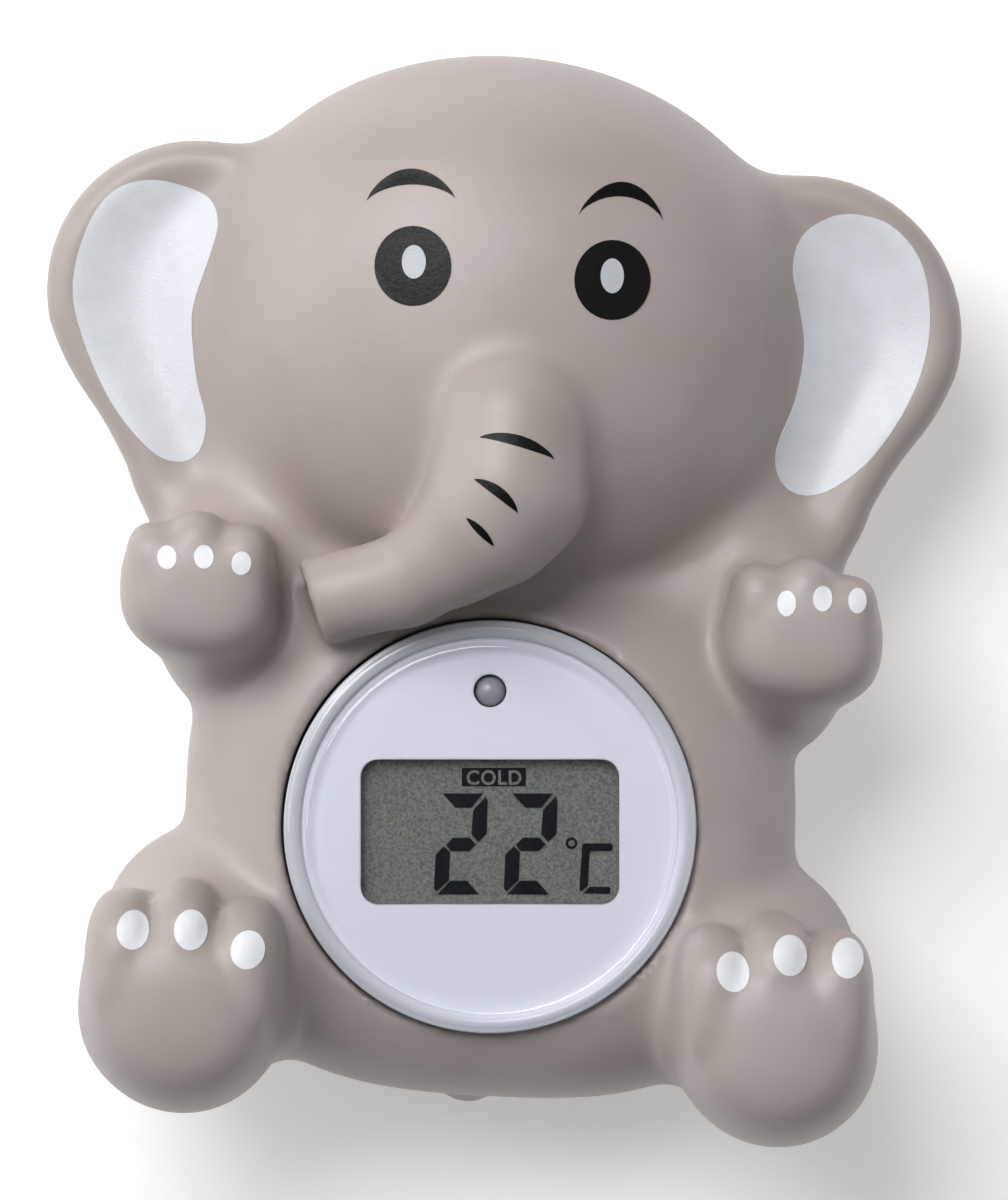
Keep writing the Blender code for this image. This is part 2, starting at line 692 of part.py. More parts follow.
def clear_cover(parts):
    """One clear moulding: a rim with a raised lens, open underneath for the display."""
    profile = [
        (0.0, LENS_TOP),
        *arc((LENS_RADIUS - LENS_ROUND, LENS_TOP - LENS_ROUND), LENS_ROUND, 90, 0, 3),
        (LENS_RADIUS, RIM_TOP),
        *arc((RIM_RADIUS - RIM_ROUND, RIM_TOP - RIM_ROUND), RIM_ROUND, 90, 0, 3),
        (RIM_RADIUS, RIM_BOTTOM),
        (COVER_INSIDE, RIM_BOTTOM),
        (COVER_INSIDE, COVER_CEILING),
        (0.0, COVER_CEILING),
    ]
    cover = turned("clear_cover", profile, WIDE_STEPS, parts)
    return finish(cover, material("clear_polycarbonate", (0.92, 0.94, 0.97), 0.05, 0.0, 1.0))


def dial_plate(parts, cutters):
    radius = COVER_INSIDE - GAP
    plate = rod("dial_plate", 0, 0, DIAL_BOTTOM, DIAL_TOP, radius, WIDE_STEPS, parts)
    centre = (0, -LCD_DROP, DIAL_TOP)
    size = (WINDOW_WIDTH, WINDOW_HEIGHT, 4 * DIAL_DEPTH)
    window = block("display_window", centre, size, cutters, WINDOW_CORNER)
    hole = rod(
        "led_hole", 0, LED_Y, DIAL_BOTTOM - GAP, COVER_CEILING,
        LED_RADIUS + GAP, SMALL_STEPS, cutters,
    )
    cut(plate, window, hole)
    return finish(plate, material("white_printed_abs", (0.70, 0.70, 0.79), 0.35))


def lcd_panel(parts):
    centre = (0, -LCD_DROP, (LCD_TOP + LCD_BOTTOM) / 2)
    panel = block("lcd_panel", centre, (LCD_WIDTH, LCD_HEIGHT, LCD_DEPTH), parts)
    return finish(panel, material("lcd_glass", (0.27, 0.29, 0.25), 0.2))


def strip_place():
    """Middle of the rubber contact strip, just inside the lower edge of the display."""
    return STRIP_INSET + STRIP_WIDTH / 2 - LCD_DROP - LCD_HEIGHT / 2


def lcd_carrier(parts, cutters):
    """The frame that holds the display over the board, with its shoulder on the housing."""
    step = SHOULDER_LEVEL + GAP
    profile = [
        (0.0, LCD_TOP),
        (CARRIER_RADIUS, LCD_TOP),
        (CARRIER_RADIUS, step),
        (HOUSING_INSIDE - GAP, step),
        (HOUSING_INSIDE - GAP, CARRIER_BOTTOM),
        (0.0, CARRIER_BOTTOM),
    ]
    carrier = turned("lcd_carrier", profile, WIDE_STEPS, parts)
    depth = 2 * (LCD_TOP - POCKET_LEVEL)
    size = (LCD_WIDTH + 2 * GAP, LCD_HEIGHT + 2 * GAP, depth)
    pocket = block("lcd_pocket", (0, -LCD_DROP, LCD_TOP), size, cutters)
    slot_size = (STRIP_LENGTH + 2 * GAP, STRIP_WIDTH + 2 * GAP, 2 * CARRIER_DEPTH)
    slot = block("strip_slot", (0, strip_place(), CARRIER_BOTTOM), slot_size, cutters)
    led = rod(
        "led_well", 0, LED_Y, CARRIER_BOTTOM - GAP, LCD_TOP + GAP,
        LED_RADIUS + LED_FLANGE + GAP, SMALL_STEPS, cutters,
    )
    cut(carrier, pocket, slot, led)
    for n, (x, y) in enumerate(screw_places(), 1):
        top = BOARD_TOP + 2 * GAP + 2 * SCREW_HEAD_DEPTH
        radius = SCREW_HEAD_RADIUS + GAP
        cut(carrier, rod(f"head_pocket_{n}", x, y, BOARD_TOP, top, radius, SMALL_STEPS, cutters))
    return finish(carrier, material("white_carrier_abs", (0.78, 0.78, 0.76), 0.5))


def contact_strip(parts):
    low = BOARD_TOP + GAP
    high = LCD_BOTTOM - GAP
    centre = (0, strip_place(), (low + high) / 2)
    strip = block("contact_strip", centre, (STRIP_LENGTH, STRIP_WIDTH, high - low), parts)
    return finish(strip, material("zebra_rubber", (0.25, 0.12, 0.12), 0.8))


def circuit_board(parts, cutters):
    radius = HOUSING_INSIDE - GAP
    board = rod("circuit_board", 0, 0, BOARD_BOTTOM, BOARD_TOP, radius, WIDE_STEPS, parts)
    for n, (x, y) in enumerate(screw_places(), 1):
        low = BOARD_BOTTOM - GAP
        high = BOARD_TOP + GAP
        cut(board, rod(f"board_hole_{n}", x, y, low, high, SCREW_HOLE, SCREW_STEPS, cutters))
    return finish(board, material("green_glass_epoxy", (0.05, 0.24, 0.10), 0.45))


def chip_blob(parts):
    """The drop of black resin that covers the chip under the board."""
    top = BOARD_BOTTOM - GAP
    profile = [(0.0, top), (CHIP_RADIUS, top)]
    for r, z in arc((0.0, 0.0), 1.0, 0, -90, 6):
        profile.append((CHIP_RADIUS * r if z > -0.999 else 0.0, top + CHIP_DEPTH * z))
    del profile[1]
    blob = turned("chip_blob", profile, SMALL_STEPS, parts)
    return finish(blob, material("black_epoxy", (0.02, 0.02, 0.02), 0.3))


def indicator_led(parts):
    """A 3 mm lamp with a domed top and a flange at its foot."""
    low = BOARD_TOP + GAP
    high = COVER_CEILING - GAP
    dome = [(r if r > 1e-6 else 0.0, z) for r, z in arc((0.0, high - LED_RADIUS), LED_RADIUS, 90, 0, 6)]
    flange = LED_RADIUS + LED_FLANGE
    profile = [*dome, (LED_RADIUS, low + SCREW_HEAD_DEPTH), (flange, low + SCREW_HEAD_DEPTH)]
    profile += [(flange, low), (0.0, low)]
    led = turned("indicator_led", profile, SMALL_STEPS, parts, (0, LED_Y))
    return finish(led, material("smoky_led_epoxy", (0.30, 0.29, 0.30), 0.15))


def sensor_cap(parts):
    """A drawn steel tube, closed at the water end, that holds the thermistor."""
    inside = SENSOR_RADIUS - SENSOR_WALL
    top = FLOOR
    closed_end = DOOR_BOTTOM + SENSOR_WALL
    profile = [
        (0.0, closed_end),
        (inside, closed_end),
        (inside, top),
        (SENSOR_RADIUS, top),
        (SENSOR_RADIUS, closed_end),
        (inside, DOOR_BOTTOM),
        (0.0, DOOR_BOTTOM),
    ]
    cap = turned("sensor_cap", profile, SCREW_STEPS, parts, (0, SENSOR_CIRCLE))
    return finish(cap, material("stainless_steel", (0.62, 0.62, 0.63), 0.25, 1.0))


def thermistor(parts):
    """A glass bead at the end of its insulated lead, which runs up to the board."""
    bead = SENSOR_RADIUS - SENSOR_WALL - GAP
    low = DOOR_BOTTOM + SENSOR_WALL + GAP
    lead = bead / 2
    ball = [(r if r > 1e-6 else 0.0, z) for r, z in arc((0.0, low + bead), bead, 30, -90, 6)]
    profile = [(0.0, BOARD_BOTTOM - GAP), (lead, BOARD_BOTTOM - GAP), (lead, low + 3 * bead), *ball]
    probe = turned("thermistor", profile, SCREW_STEPS, parts, (0, SENSOR_CIRCLE))
    return finish(probe, material("glass_bead", (0.10, 0.08, 0.06), 0.2))


def coin_cell(parts):
    """A button cell, its wide can towards the door and its smaller pole towards the board."""
    pole = CELL_RADIUS - 4 * CONTACT_DEPTH
    shoulder = CELL_TOP - CONTACT_DEPTH
    profile = [
        (0.0, CELL_TOP),
        (pole, CELL_TOP),
        (pole, shoulder),
        (CELL_RADIUS - CONTACT_DEPTH, shoulder),
        (CELL_RADIUS, shoulder - CONTACT_DEPTH),
        (CELL_RADIUS, CELL_BOTTOM + CONTACT_DEPTH),
        (CELL_RADIUS - CONTACT_DEPTH, CELL_BOTTOM),
        (0.0, CELL_BOTTOM),
    ]
    cell = turned("coin_cell", profile, WIDE_STEPS // 2, parts)
    return finish(cell, material("cell_steel", (0.70, 0.70, 0.70), 0.3, 1.0))


def contact_tail(name, x, low, width, parts):
    """An upright strip of spring metal that ends under the board."""
    high = BOARD_BOTTOM - GAP
    centre = (x, 0, (low + high) / 2)
    return block(name, centre, (CONTACT_DEPTH, width, high - low), parts)


def tail_places():
    """X of the upright strips: one beside the cell, the other over it and clear of the chip."""
    beside = CELL_RADIUS + GAP + CONTACT_DEPTH / 2
    over = (CHIP_RADIUS + CELL_RADIUS) / 2
    return -beside, over


def cell_contacts(parts, cutters):
    beside, over = tail_places()
    metal = material("nickel_plated_spring", (0.66, 0.62, 0.52), 0.3, 1.0)
    low = HOUSING_BOTTOM + SEAL_GROOVE_DEPTH + GAP
    positive = contact_tail("cell_contact_positive", beside, low, CONTACT_WIDTH, parts)
    length = 2 * over + CONTACT_DEPTH
    centre = (0, 0, CONTACT_BOTTOM + CONTACT_DEPTH / 2)
    size = (length, 2 * CONTACT_WIDTH, CONTACT_DEPTH)
    negative = block("cell_contact_negative", centre, size, parts)
    tail_low = CONTACT_BOTTOM + CONTACT_DEPTH / 2
    join(negative, contact_tail("negative_tail", over, tail_low, CONTACT_WIDTH / 2, cutters))
    return finish(positive, metal), finish(negative, metal)


def rear_housing(parts, cutters):
    """The white cup of the capsule: flange, wall, cell bay, two seal grooves and its bosses."""
    half_groove = GROOVE_WIDTH / 2
    groove_top = FLANGE_TOP - SEAL_GROOVE_DEPTH
    groove_bottom = HOUSING_BOTTOM + SEAL_GROOVE_DEPTH
    bay_outside = BAY_RADIUS + HOUSING_WALL
    profile = [
        (0.0, FLOOR),
        (bay_outside, FLOOR),
        (bay_outside, POCKET_FLOOR),
        (HOUSING_INSIDE, POCKET_FLOOR),
        (HOUSING_INSIDE, SHOULDER_LEVEL),
        (COUNTERBORE, SHOULDER_LEVEL),
        (COUNTERBORE, FLANGE_TOP),
        (FLANGE_SEAL_RADIUS - half_groove, FLANGE_TOP),
        (FLANGE_SEAL_RADIUS - half_groove, groove_top),
        (FLANGE_SEAL_RADIUS + half_groove, groove_top),
        (FLANGE_SEAL_RADIUS + half_groove, FLANGE_TOP),
        (RIM_RADIUS, FLANGE_TOP),
        (RIM_RADIUS, FLANGE_BOTTOM),
        (HOUSING_RADIUS, FLANGE_BOTTOM),
        (HOUSING_RADIUS, HOUSING_BOTTOM),
        (DOOR_SEAL_RADIUS + half_groove, HOUSING_BOTTOM),
        (DOOR_SEAL_RADIUS + half_groove, groove_bottom),
        (DOOR_SEAL_RADIUS - half_groove, groove_bottom),
        (DOOR_SEAL_RADIUS - half_groove, HOUSING_BOTTOM),
        (BAY_RADIUS, HOUSING_BOTTOM),
        (BAY_RADIUS, BAY_CEILING),
        (0.0, BAY_CEILING),
    ]
    housing = turned("rear_housing", profile, WIDE_STEPS, parts)
    low = POCKET_FLOOR - GAP
    for n, (x, y) in enumerate(screw_places(), 1):
        boss = rod(f"screw_boss_{n}", x, y, low, BOSS_TOP, BOSS_RADIUS + GAP, SMALL_STEPS, cutters)
        join(housing, boss)
    sleeve_radius = SENSOR_RADIUS + GAP + HOUSING_WALL / 2
    sleeve = rod("sensor_sleeve", 0, SENSOR_CIRCLE, low, FLOOR, sleeve_radius, SMALL_STEPS, cutters)
    join(housing, sleeve)
    for n, (x, y) in enumerate(screw_places(), 1):
        door_end = HOUSING_BOTTOM + SCREW_LENGTH
        board_end = BOSS_TOP - SCREW_LENGTH
        radius = SCREW_HOLE
        cut(housing, rod(f"door_thread_{n}", x, y, 0.0, door_end, radius, SCREW_STEPS, cutters))
        cut(housing, rod(f"board_thread_{n}", x, y, board_end, BOARD_TOP, radius, SCREW_STEPS, cutters))
    high = FLOOR + GAP
    radius = SENSOR_RADIUS + GAP
    cut(housing, rod("sensor_hole", 0, SENSOR_CIRCLE, 0.0, high, radius, SCREW_STEPS, cutters))
    beside, over = tail_places()
    slot_width = CONTACT_DEPTH + 2 * GAP
    height = FLOOR - HOUSING_BOTTOM - SEAL_GROOVE_DEPTH + GAP
    centre = (beside, 0, FLOOR + GAP - height / 2)
    notch = block("positive_notch", centre, (slot_width, CONTACT_WIDTH + 2 * GAP, height), cutters)
    centre = (over, 0, FLOOR)
    size = (slot_width, CONTACT_WIDTH / 2 + 2 * GAP, 4 * HOUSING_FLOOR)
    slot = block("negative_slot", centre, size, cutters)
    cut(housing, notch, slot)
    return finish(housing, material("white_abs", (0.80, 0.80, 0.79), 0.45))


def seal(name, radius, low, parts):
    """A rubber ring with bevelled edges, as deep as its groove less the fit."""
    half = SEAL_WIDTH / 2
    bevel = SEAL_WIDTH / 4
    high = low + SEAL_DEPTH
    profile = [
        (radius - half + bevel, high),
        (radius + half - bevel, high),
        (radius + half, high - bevel),
        (radius + half, low + bevel),
        (radius + half - bevel, low),
        (radius - half + bevel, low),
        (radius - half, low + bevel),
        (radius - half, high - bevel),
    ]
    ring = turned(name, profile, SMALL_STEPS, parts, closed=True)
    return finish(ring, material(name + "_silicone", (0.35, 0.36, 0.38), 0.6))


def battery_door(parts, cutters):
    """A flat door, its screw heads sunk in, with a notch for the sensor."""
    door = rod("battery_door", 0, 0, DOOR_BOTTOM, DOOR_TOP, DOOR_RADIUS, WIDE_STEPS, parts)
    for n, (x, y) in enumerate(screw_places(), 1):
        sunk = DOOR_BOTTOM + SCREW_HEAD_DEPTH + GAP
        radius = SCREW_HEAD_RADIUS + GAP / 2
        cut(door, rod(f"door_sink_{n}", x, y, 0.0, sunk, radius, SCREW_STEPS, cutters))
        cut(door, rod(f"door_hole_{n}", x, y, 0.0, HOUSING_BOTTOM, SCREW_HOLE, SCREW_STEPS, cutters))
    radius = SENSOR_RADIUS + GAP
    notch = rod("sensor_notch", 0, SENSOR_CIRCLE, 0.0, HOUSING_BOTTOM, radius, SCREW_STEPS, cutters)
    cut(door, notch)
    return finish(door, material("white_door_abs", (0.78, 0.78, 0.77), 0.5))


def machine_screw(name, x, y, head_face, point, parts):
    """A flat-headed screw from the outer face of its head to its point, either way up."""
    way = 1 if point > head_face else -1
    under_head = head_face + way * SCREW_HEAD_DEPTH
    tip = point - way * SCREW_RADIUS
    profile = [
        (0.0, head_face),
        (SCREW_HEAD_RADIUS, head_face),
        (SCREW_HEAD_RADIUS, under_head),
        (SCREW_RADIUS, under_head),
        (SCREW_RADIUS, tip),
        (SCREW_RADIUS / 2, point),
        (0.0, point),
    ]
    if way > 0:
        profile.reverse()
    screw = turned(name, profile, SCREW_STEPS, parts, (x, y))
    return finish(screw, material(name + "_steel", (0.55, 0.55, 0.56), 0.3, 1.0))


def screws(parts):
    for n, (x, y) in enumerate(screw_places(), 1):
        point = HOUSING_BOTTOM + SCREW_LENGTH - SCREW_RADIUS
        machine_screw(f"door_screw_{n}", x, y, DOOR_BOTTOM, point, parts)
        head = BOARD_TOP + GAP + SCREW_HEAD_DEPTH
        point = BOSS_TOP - SCREW_LENGTH + SCREW_RADIUS
        machine_screw(f"board_screw_{n}", x, y, head, point, parts)


def main():
    for old in list(bpy.data.objects):
        bpy.data.objects.remove(old)
    parts = collection(OBJECT_NAME)
    cutters = collection("cutters", hidden=True)
    elephant_body(parts, cutters)
    clear_cover(parts)
    dial_plate(parts, cutters)
    lcd_panel(parts)
    lcd_carrier(parts, cutters)
    contact_strip(parts)
    circuit_board(parts, cutters)
    chip_blob(parts)
    indicator_led(parts)
    sensor_cap(parts)
    thermistor(parts)
    coin_cell(parts)
    cell_contacts(parts, cutters)
    rear_housing(parts, cutters)
    seal("housing_seal", FLANGE_SEAL_RADIUS, FLANGE_TOP - SEAL_DEPTH, parts)
    seal("door_seal", DOOR_SEAL_RADIUS, HOUSING_BOTTOM, parts)
    battery_door(parts, cutters)
    screws(parts)
    for cutter in cutters.objects:
        cutter.hide_render = True
        cutter.display_type = "WIRE"


main()
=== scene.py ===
"""Looks of the baby bath thermometer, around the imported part, laid out as a Blender add-on.

It is run as a script: main() registers the classes and calls the operators in order. Everything
is in metres in the part's own frame: +X to the right of someone who reads the display, +Y to the
top of the elephant's head, +Z out of the display.
"""

import math

import bmesh
import bpy
from bpy.props import FloatProperty, FloatVectorProperty, IntProperty, PointerProperty
from mathutils import Matrix, Vector
from mathutils.bvhtree import BVHTree
from mathutils.geometry import delaunay_2d_cdt


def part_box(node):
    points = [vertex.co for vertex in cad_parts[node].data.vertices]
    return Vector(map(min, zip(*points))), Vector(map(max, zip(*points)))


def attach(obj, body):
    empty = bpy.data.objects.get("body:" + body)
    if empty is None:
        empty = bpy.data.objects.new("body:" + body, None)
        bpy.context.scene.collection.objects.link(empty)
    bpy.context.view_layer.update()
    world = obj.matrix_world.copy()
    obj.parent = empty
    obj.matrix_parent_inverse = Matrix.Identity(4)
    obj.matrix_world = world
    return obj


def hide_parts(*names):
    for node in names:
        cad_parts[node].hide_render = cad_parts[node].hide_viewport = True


bl_info = {
    "name": "Baby bath thermometer",
    "version": (1, 0, 0),
    "blender": (4, 5, 0),
    "location": "3D View > Sidebar > Thermometer",
    "description": "Dresses the packed baby bath thermometer in its moulded and painted finishes",
    "category": "Object",
}

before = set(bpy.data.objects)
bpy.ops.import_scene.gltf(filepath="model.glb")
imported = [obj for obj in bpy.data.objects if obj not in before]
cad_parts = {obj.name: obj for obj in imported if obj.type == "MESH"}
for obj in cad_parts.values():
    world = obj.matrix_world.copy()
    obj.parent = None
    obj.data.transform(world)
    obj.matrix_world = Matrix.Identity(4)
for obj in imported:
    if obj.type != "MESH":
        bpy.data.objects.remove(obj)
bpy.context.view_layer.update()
MM = 0.001
ROUND_SIDE = math.radians(35)

# The photograph's frame: the capsule's middle and the scale there give the camera and each mark
PHOTO_SIZE = (1008, 1200)
CAPSULE_PIXEL = (490.0, 827.0)
METRES_A_PIXEL = 0.0934 * MM
SIGHT_LEVEL = 27 * MM
CAMERA_DISTANCE = 0.60
CAMERA_TURN = math.radians(3.3)
SENSOR_WIDTH = 36.0
KEY_PLACE = Vector((-0.24, 0.32, 0.60))
SIDE_PLACE = Vector((-0.60, 0.14, 0.30))
FILL_PLACE = Vector((0.50, 0.05, 0.45))
FLOOR_GLOW = 0.33
FLOOR_DROP = 0.05 * MM
# The room from the floor up to overhead, by the sine of the height: dark behind the camera
ROOM = ((0.0, "8A8B8E"), (0.3, "FBFCFF"), (0.9, "FBFCFF"), (0.97, "202022"))

# Fits
PLAY = 0.3 * MM

# Finishes: the relief of the soft body's peel, in millimetres, and the bands of the contact strip
PEEL_RELIEF = 0.02
STRIPE_PITCH = 2.5 * MM

# Elephant, overall
BODY_HEIGHT = 0.1008
EAR_SPAN = 0.0863
LEAN = 0.030
BACK_BLEND = 0.0030

# Head
HEAD_WIDTH = 0.0556
CHEEK_WIDTH = 0.0536
HEAD_FRONT = 0.0340
HEAD_BACK = -0.0027
BROW_ABOVE_CHIN = 0.0077
CHEEK_BELOW_TOP = 0.0107
HEAD_BLEND = 0.0060
CHIN_CREASE = 0.0045

# Ears
EAR_RADIUS = 0.0143
EAR_DROP = 0.0244
EAR_LOBE_RADIUS = 0.0100
EAR_LOBE_PLACE = (0.0256, -0.0145)
EAR_ROOT_RADIUS = 0.0135
EAR_ROOT_PLACE = (0.0195, 0.0000)
EAR_THICKNESS = 0.0066
EAR_DEPTH = 0.0165
EAR_EDGE = 0.0028
EAR_DISH = 0.0020
EAR_RIM = 0.0024
EAR_SLOPE = 0.0045
EAR_FOLD = 0.0285
EAR_BLEND = 0.0050

# Trunk: (x, y above the chin, z, radius) down its middle line, from the brow to the cut end
TRUNK = (
    (0.0012, 0.0158, 0.0319, 0.0072),
    (0.0008, 0.0101, 0.0328, 0.0069),
    (-0.0011, 0.0070, 0.0328, 0.0060),
    (-0.0042, 0.0043, 0.0316, 0.0049),
    (-0.0085, 0.0013, 0.0298, 0.0041),
    (-0.0190, -0.0017, 0.0272, 0.0043),
)
TRUNK_END = (-0.0173, -0.0010)
TRUNK_END_TURN = math.radians(20.7)
TRUNK_BLEND = 0.0020
TRUNK_CREASE = 0.0030
NOSTRIL_RADIUS = 0.0009

# Torso
TORSO_WIDTH = 0.0583
TORSO_FRONT = 0.0277
TORSO_BACK = -0.0027
TORSO_SQUARENESS = 2.8
TORSO_ABOVE_FEET = 0.0018
TORSO_UNDER_CHIN = 0.0045
LIMB_BLEND = 0.0035
LIMB_CREASE = 0.0022

# Arms and hands, for the +X side: places are (x, y above the chin, z)
HAND_PLACE = (0.0283, -0.0013, 0.0262)
HAND_RADII = (0.0072, 0.0060, 0.0080)
HAND_SQUARENESS = 2.7
ARM_ROOT = (0.0255, -0.0059, 0.0140)
ARM_ROOT_RADIUS = 0.0070
WRIST_RADIUS = 0.0063
SHOULDER_IN = (0.0120, -0.0027, 0.0130)
SHOULDER_OUT = (0.0245, 0.0028, 0.0150)
SHOULDER_RADIUS = 0.0080
ARM_SHIFT = 0.0005
ARM_TILT = 0.019
FINGERS = ((0.0241, 0.0019), (0.0284, 0.0028), (0.0324, 0.0014))
FINGER_RADII = (0.0027, 0.0034, 0.0064)
FINGER_RISE = 0.0006
FINGER_BLEND = 0.0006
PALM_LEVEL = 0.0334
PALM_ROUND = 0.0030

# Legs and feet, for the +X side
FOOT_REACH = 0.0277
FOOT_RADIUS = 0.0093
FOOT_FRONT = 0.0400
FOOT_DEPTH = 0.0230
FOOT_SQUARENESS = 2.4
TOE_LENGTH = 0.0170
HEEL_LENGTH = 0.0170
FOOT_LENGTH = 0.0188
THIGH_RADIUS = 0.0122
THIGH_PLACE = (0.0243, 0.0145)
THIGH_DEPTH = 0.0150
LEG_SHIFT = -0.0006
TOES = ((0.0217, 0.0129), (0.0274, 0.0143), (0.0331, 0.0132))
TOE_RADII = (0.0036, 0.0072, 0.0104)
TOE_BLEND = 0.0007
SOLE_LEVEL = 0.0390
SOLE_ROUND = 0.0045
DIGIT_SQUARENESS = 2.7
HEEL_TAPER = 0.0008

# Tail
TAIL_RADIUS = 0.0034
TAIL_DEPTH = 0.0075
TAIL_SIDE = -0.0016
TAIL_REACH = 0.0012

# Capsule, from the frame and from the part's own sizes
COVER_LOW, COVER_HIGH = (Vector(corner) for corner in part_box("clear_cover"))
DIAL_LOW, DIAL_HIGH = (Vector(corner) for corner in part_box("dial_plate"))
LCD_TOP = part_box("lcd_panel")[1][2]
SEAL_LOW, SEAL_HIGH = (Vector(corner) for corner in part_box("housing_seal"))
SEAL_WIDTH = 0.0006
LED_LOW, LED_HIGH = (Vector(corner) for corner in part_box("indicator_led"))
DOOR_LOW, DOOR_HIGH = (Vector(corner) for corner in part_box("battery_door"))
CAPSULE = (COVER_LOW + COVER_HIGH) / 2
CAPSULE_TURN = CAMERA_TURN
RIM_RADIUS = (COVER_HIGH.x - COVER_LOW.x) / 2
RIM_WIDTH = 0.0018
RIM_ROUND = 0.0003
RIM_CROWN = 0.00022
RIM_GROOVE = 0.0003
LENS_RISE = 0.0016
LENS_DEPTH = 0.0022
LENS_ROUND = 0.0008
COVER_WALL = 0.0002
HOUSING_RADIUS = 0.0169
LEDGE_TOP = 0.0206
RECESS_RADIUS = RIM_RADIUS + 0.18 * MM
RECESS_ASIDE = 0.14 * MM
LIP_ROUND = 0.0005
DOOR_RADIUS = (DOOR_HIGH.x - DOOR_LOW.x) / 2
SCREW_CIRCLE = 0.0133
SENSOR_CIRCLE = 0.0137
SENSOR_RADIUS = 0.0012
SCREW_RADIUS = 0.0007
SCREW_HEAD_RADIUS = 0.0014
SCREW_HEAD_DEPTH = 0.0006
SCREW_COUNT = 3
SMALL_STEPS = 40
SCREW_START = math.radians(30)
WINDOW_WIDTH = 0.0242
WINDOW_HEIGHT = 0.0136
WINDOW_CORNER = 0.0017
LCD_DROP = 0.0005
LED_RADIUS = 0.0015
LED_FLANGE = 0.00025
LED_CLEARANCE = 0.04 * MM
LED_Y = 0.0127

# Places up the elephant
HEAD_TOP = BODY_HEIGHT / 2
FEET_BOTTOM = -BODY_HEIGHT / 2
CHIN_TO_RIM = 0.0019
CHIN = CAPSULE.y + RIM_RADIUS + CHIN_TO_RIM
BROW_LENGTH = HEAD_TOP - CHIN - BROW_ABOVE_CHIN
CHEEK_LENGTH = HEAD_TOP - CHIN - CHEEK_BELOW_TOP
EAR_RISE = HEAD_TOP - EAR_DROP

# Painted marks, in pixels of the photograph's frame. An oval is (x, y, half width, half height, turn)
EYES = ((413.0, 266.0, 38.5, 40.0, 0.0), (612.3, 280.0, 38.0, 40.0, 0.0))
EYE_GLINTS = ((414.0, 262.0, 12.0, 16.8, 0.0), (612.0, 276.0, 11.6, 17.4, 0.0))
NAILS = (
    (166.9, 557.4, 9.6, 11.8, -4.0),
    (203.8, 556.9, 9.8, 11.8, 0.0),
    (241.3, 563.3, 9.8, 11.8, 6.0),
    (786.7, 603.6, 9.4, 12.8, 0.0),
    (822.6, 598.8, 9.6, 12.8, 0.0),
    (857.3, 600.8, 9.0, 12.6, 0.0),
    (133.0, 930.0, 16.2, 20.0, 8.0),
    (190.7, 930.0, 16.6, 20.4, 4.0),
    (247.7, 950.0, 16.8, 19.6, 14.0),
    (733.0, 972.0, 16.4, 20.4, -10.0),
    (789.8, 955.6, 16.6, 20.6, -4.0),
    (847.5, 958.4, 15.5, 20.4, 0.0),
)
# A crescent is its two tips and how far its two edges bow above the line between them
BOW_FULLNESS = 0.8
BROWS = (
    ((366.7, 200.5), (455.8, 198.6), 30.8, 15.0),
    ((578.6, 214.3), (663.2, 220.6), 35.5, 21.0),
)
WRINKLES = (
    ((480.0, 437.3), (553.9, 458.7), 12.9, 1.8),
    ((474.0, 479.3), (517.7, 512.6), 10.0, -0.3),
    ((466.3, 518.0), (493.7, 545.8), 4.9, -2.7),
)
LEFT_EAR = (
    (155, 180), (205, 195), (218, 220), (212, 250), (195, 300), (192, 330), (197, 380), (206, 420),
    (200, 450), (180, 462), (150, 450), (110, 400), (80, 330), (73, 280), (88, 225), (115, 190),
)
RIGHT_EAR = (
    (850, 214), (890, 225), (920, 260), (930, 310), (925, 360), (905, 410), (870, 460), (830, 490),
    (800, 495), (780, 480), (776, 450), (795, 400), (804, 350), (800, 310), (793, 270), (800, 240),
    (820, 222),
)

# Figures of the display, in millimetres from the capsule's axis
FIGURE_TWO = (
    ((-4.50, 3.10), (-0.63, 3.10), (-1.74, 1.74), (-3.24, 1.74)),
    ((-0.40, 2.81), (-0.21, 2.42), (-0.30, -0.70), (-1.10, -1.50), (-1.76, -0.75), (-1.59, 1.52)),
    ((-4.13, -1.74), (-3.49, -1.06), (-1.92, -1.06), (-1.31, -1.71), (-1.97, -2.34), (-3.70, -2.34)),
    ((-4.36, -1.88), (-3.75, -2.44), (-3.87, -5.11), (-5.04, -6.14), (-5.28, -5.81), (-5.13, -2.67)),
    ((-4.97, -6.42), (-3.75, -5.11), (-2.16, -5.11), (-1.03, -6.42)),
)
FIGURE_STEP = 6.57
DEGREE_PLACE = (7.67, -1.59)
DEGREE_RADII = (0.56, 0.30)
FIGURE_C = (
    (
        (8.68, -1.78), (8.86, -1.59), (11.35, -1.59), (11.51, -1.74), (11.51, -2.16), (11.37, -2.32),
        (9.47, -2.32), (9.38, -2.51), (9.21, -5.56), (8.51, -6.19), (8.39, -5.91),
    ),
    ((8.75, -6.31), (9.38, -5.67), (11.21, -5.67), (11.30, -5.91), (11.30, -6.19), (11.16, -6.33)),
)
FLAG = ((-2.65, 3.78), (3.38, 3.78), (3.38, 5.51), (-2.65, 5.51))
FLAG_WORD = "COLD"
FLAG_WORD_BOX = ((-2.20, 3.89), (2.95, 5.30))


def linear(code):
    """The linear colour of an sRGB hex code."""
    shares = [int(code[n:n + 2], 16) / 255 for n in (0, 2, 4)]
    return [s / 12.92 if s <= 0.04045 else ((s + 0.055) / 1.055) ** 2.4 for s in shares]


def shade(code):
    return (*linear(code), 1.0)


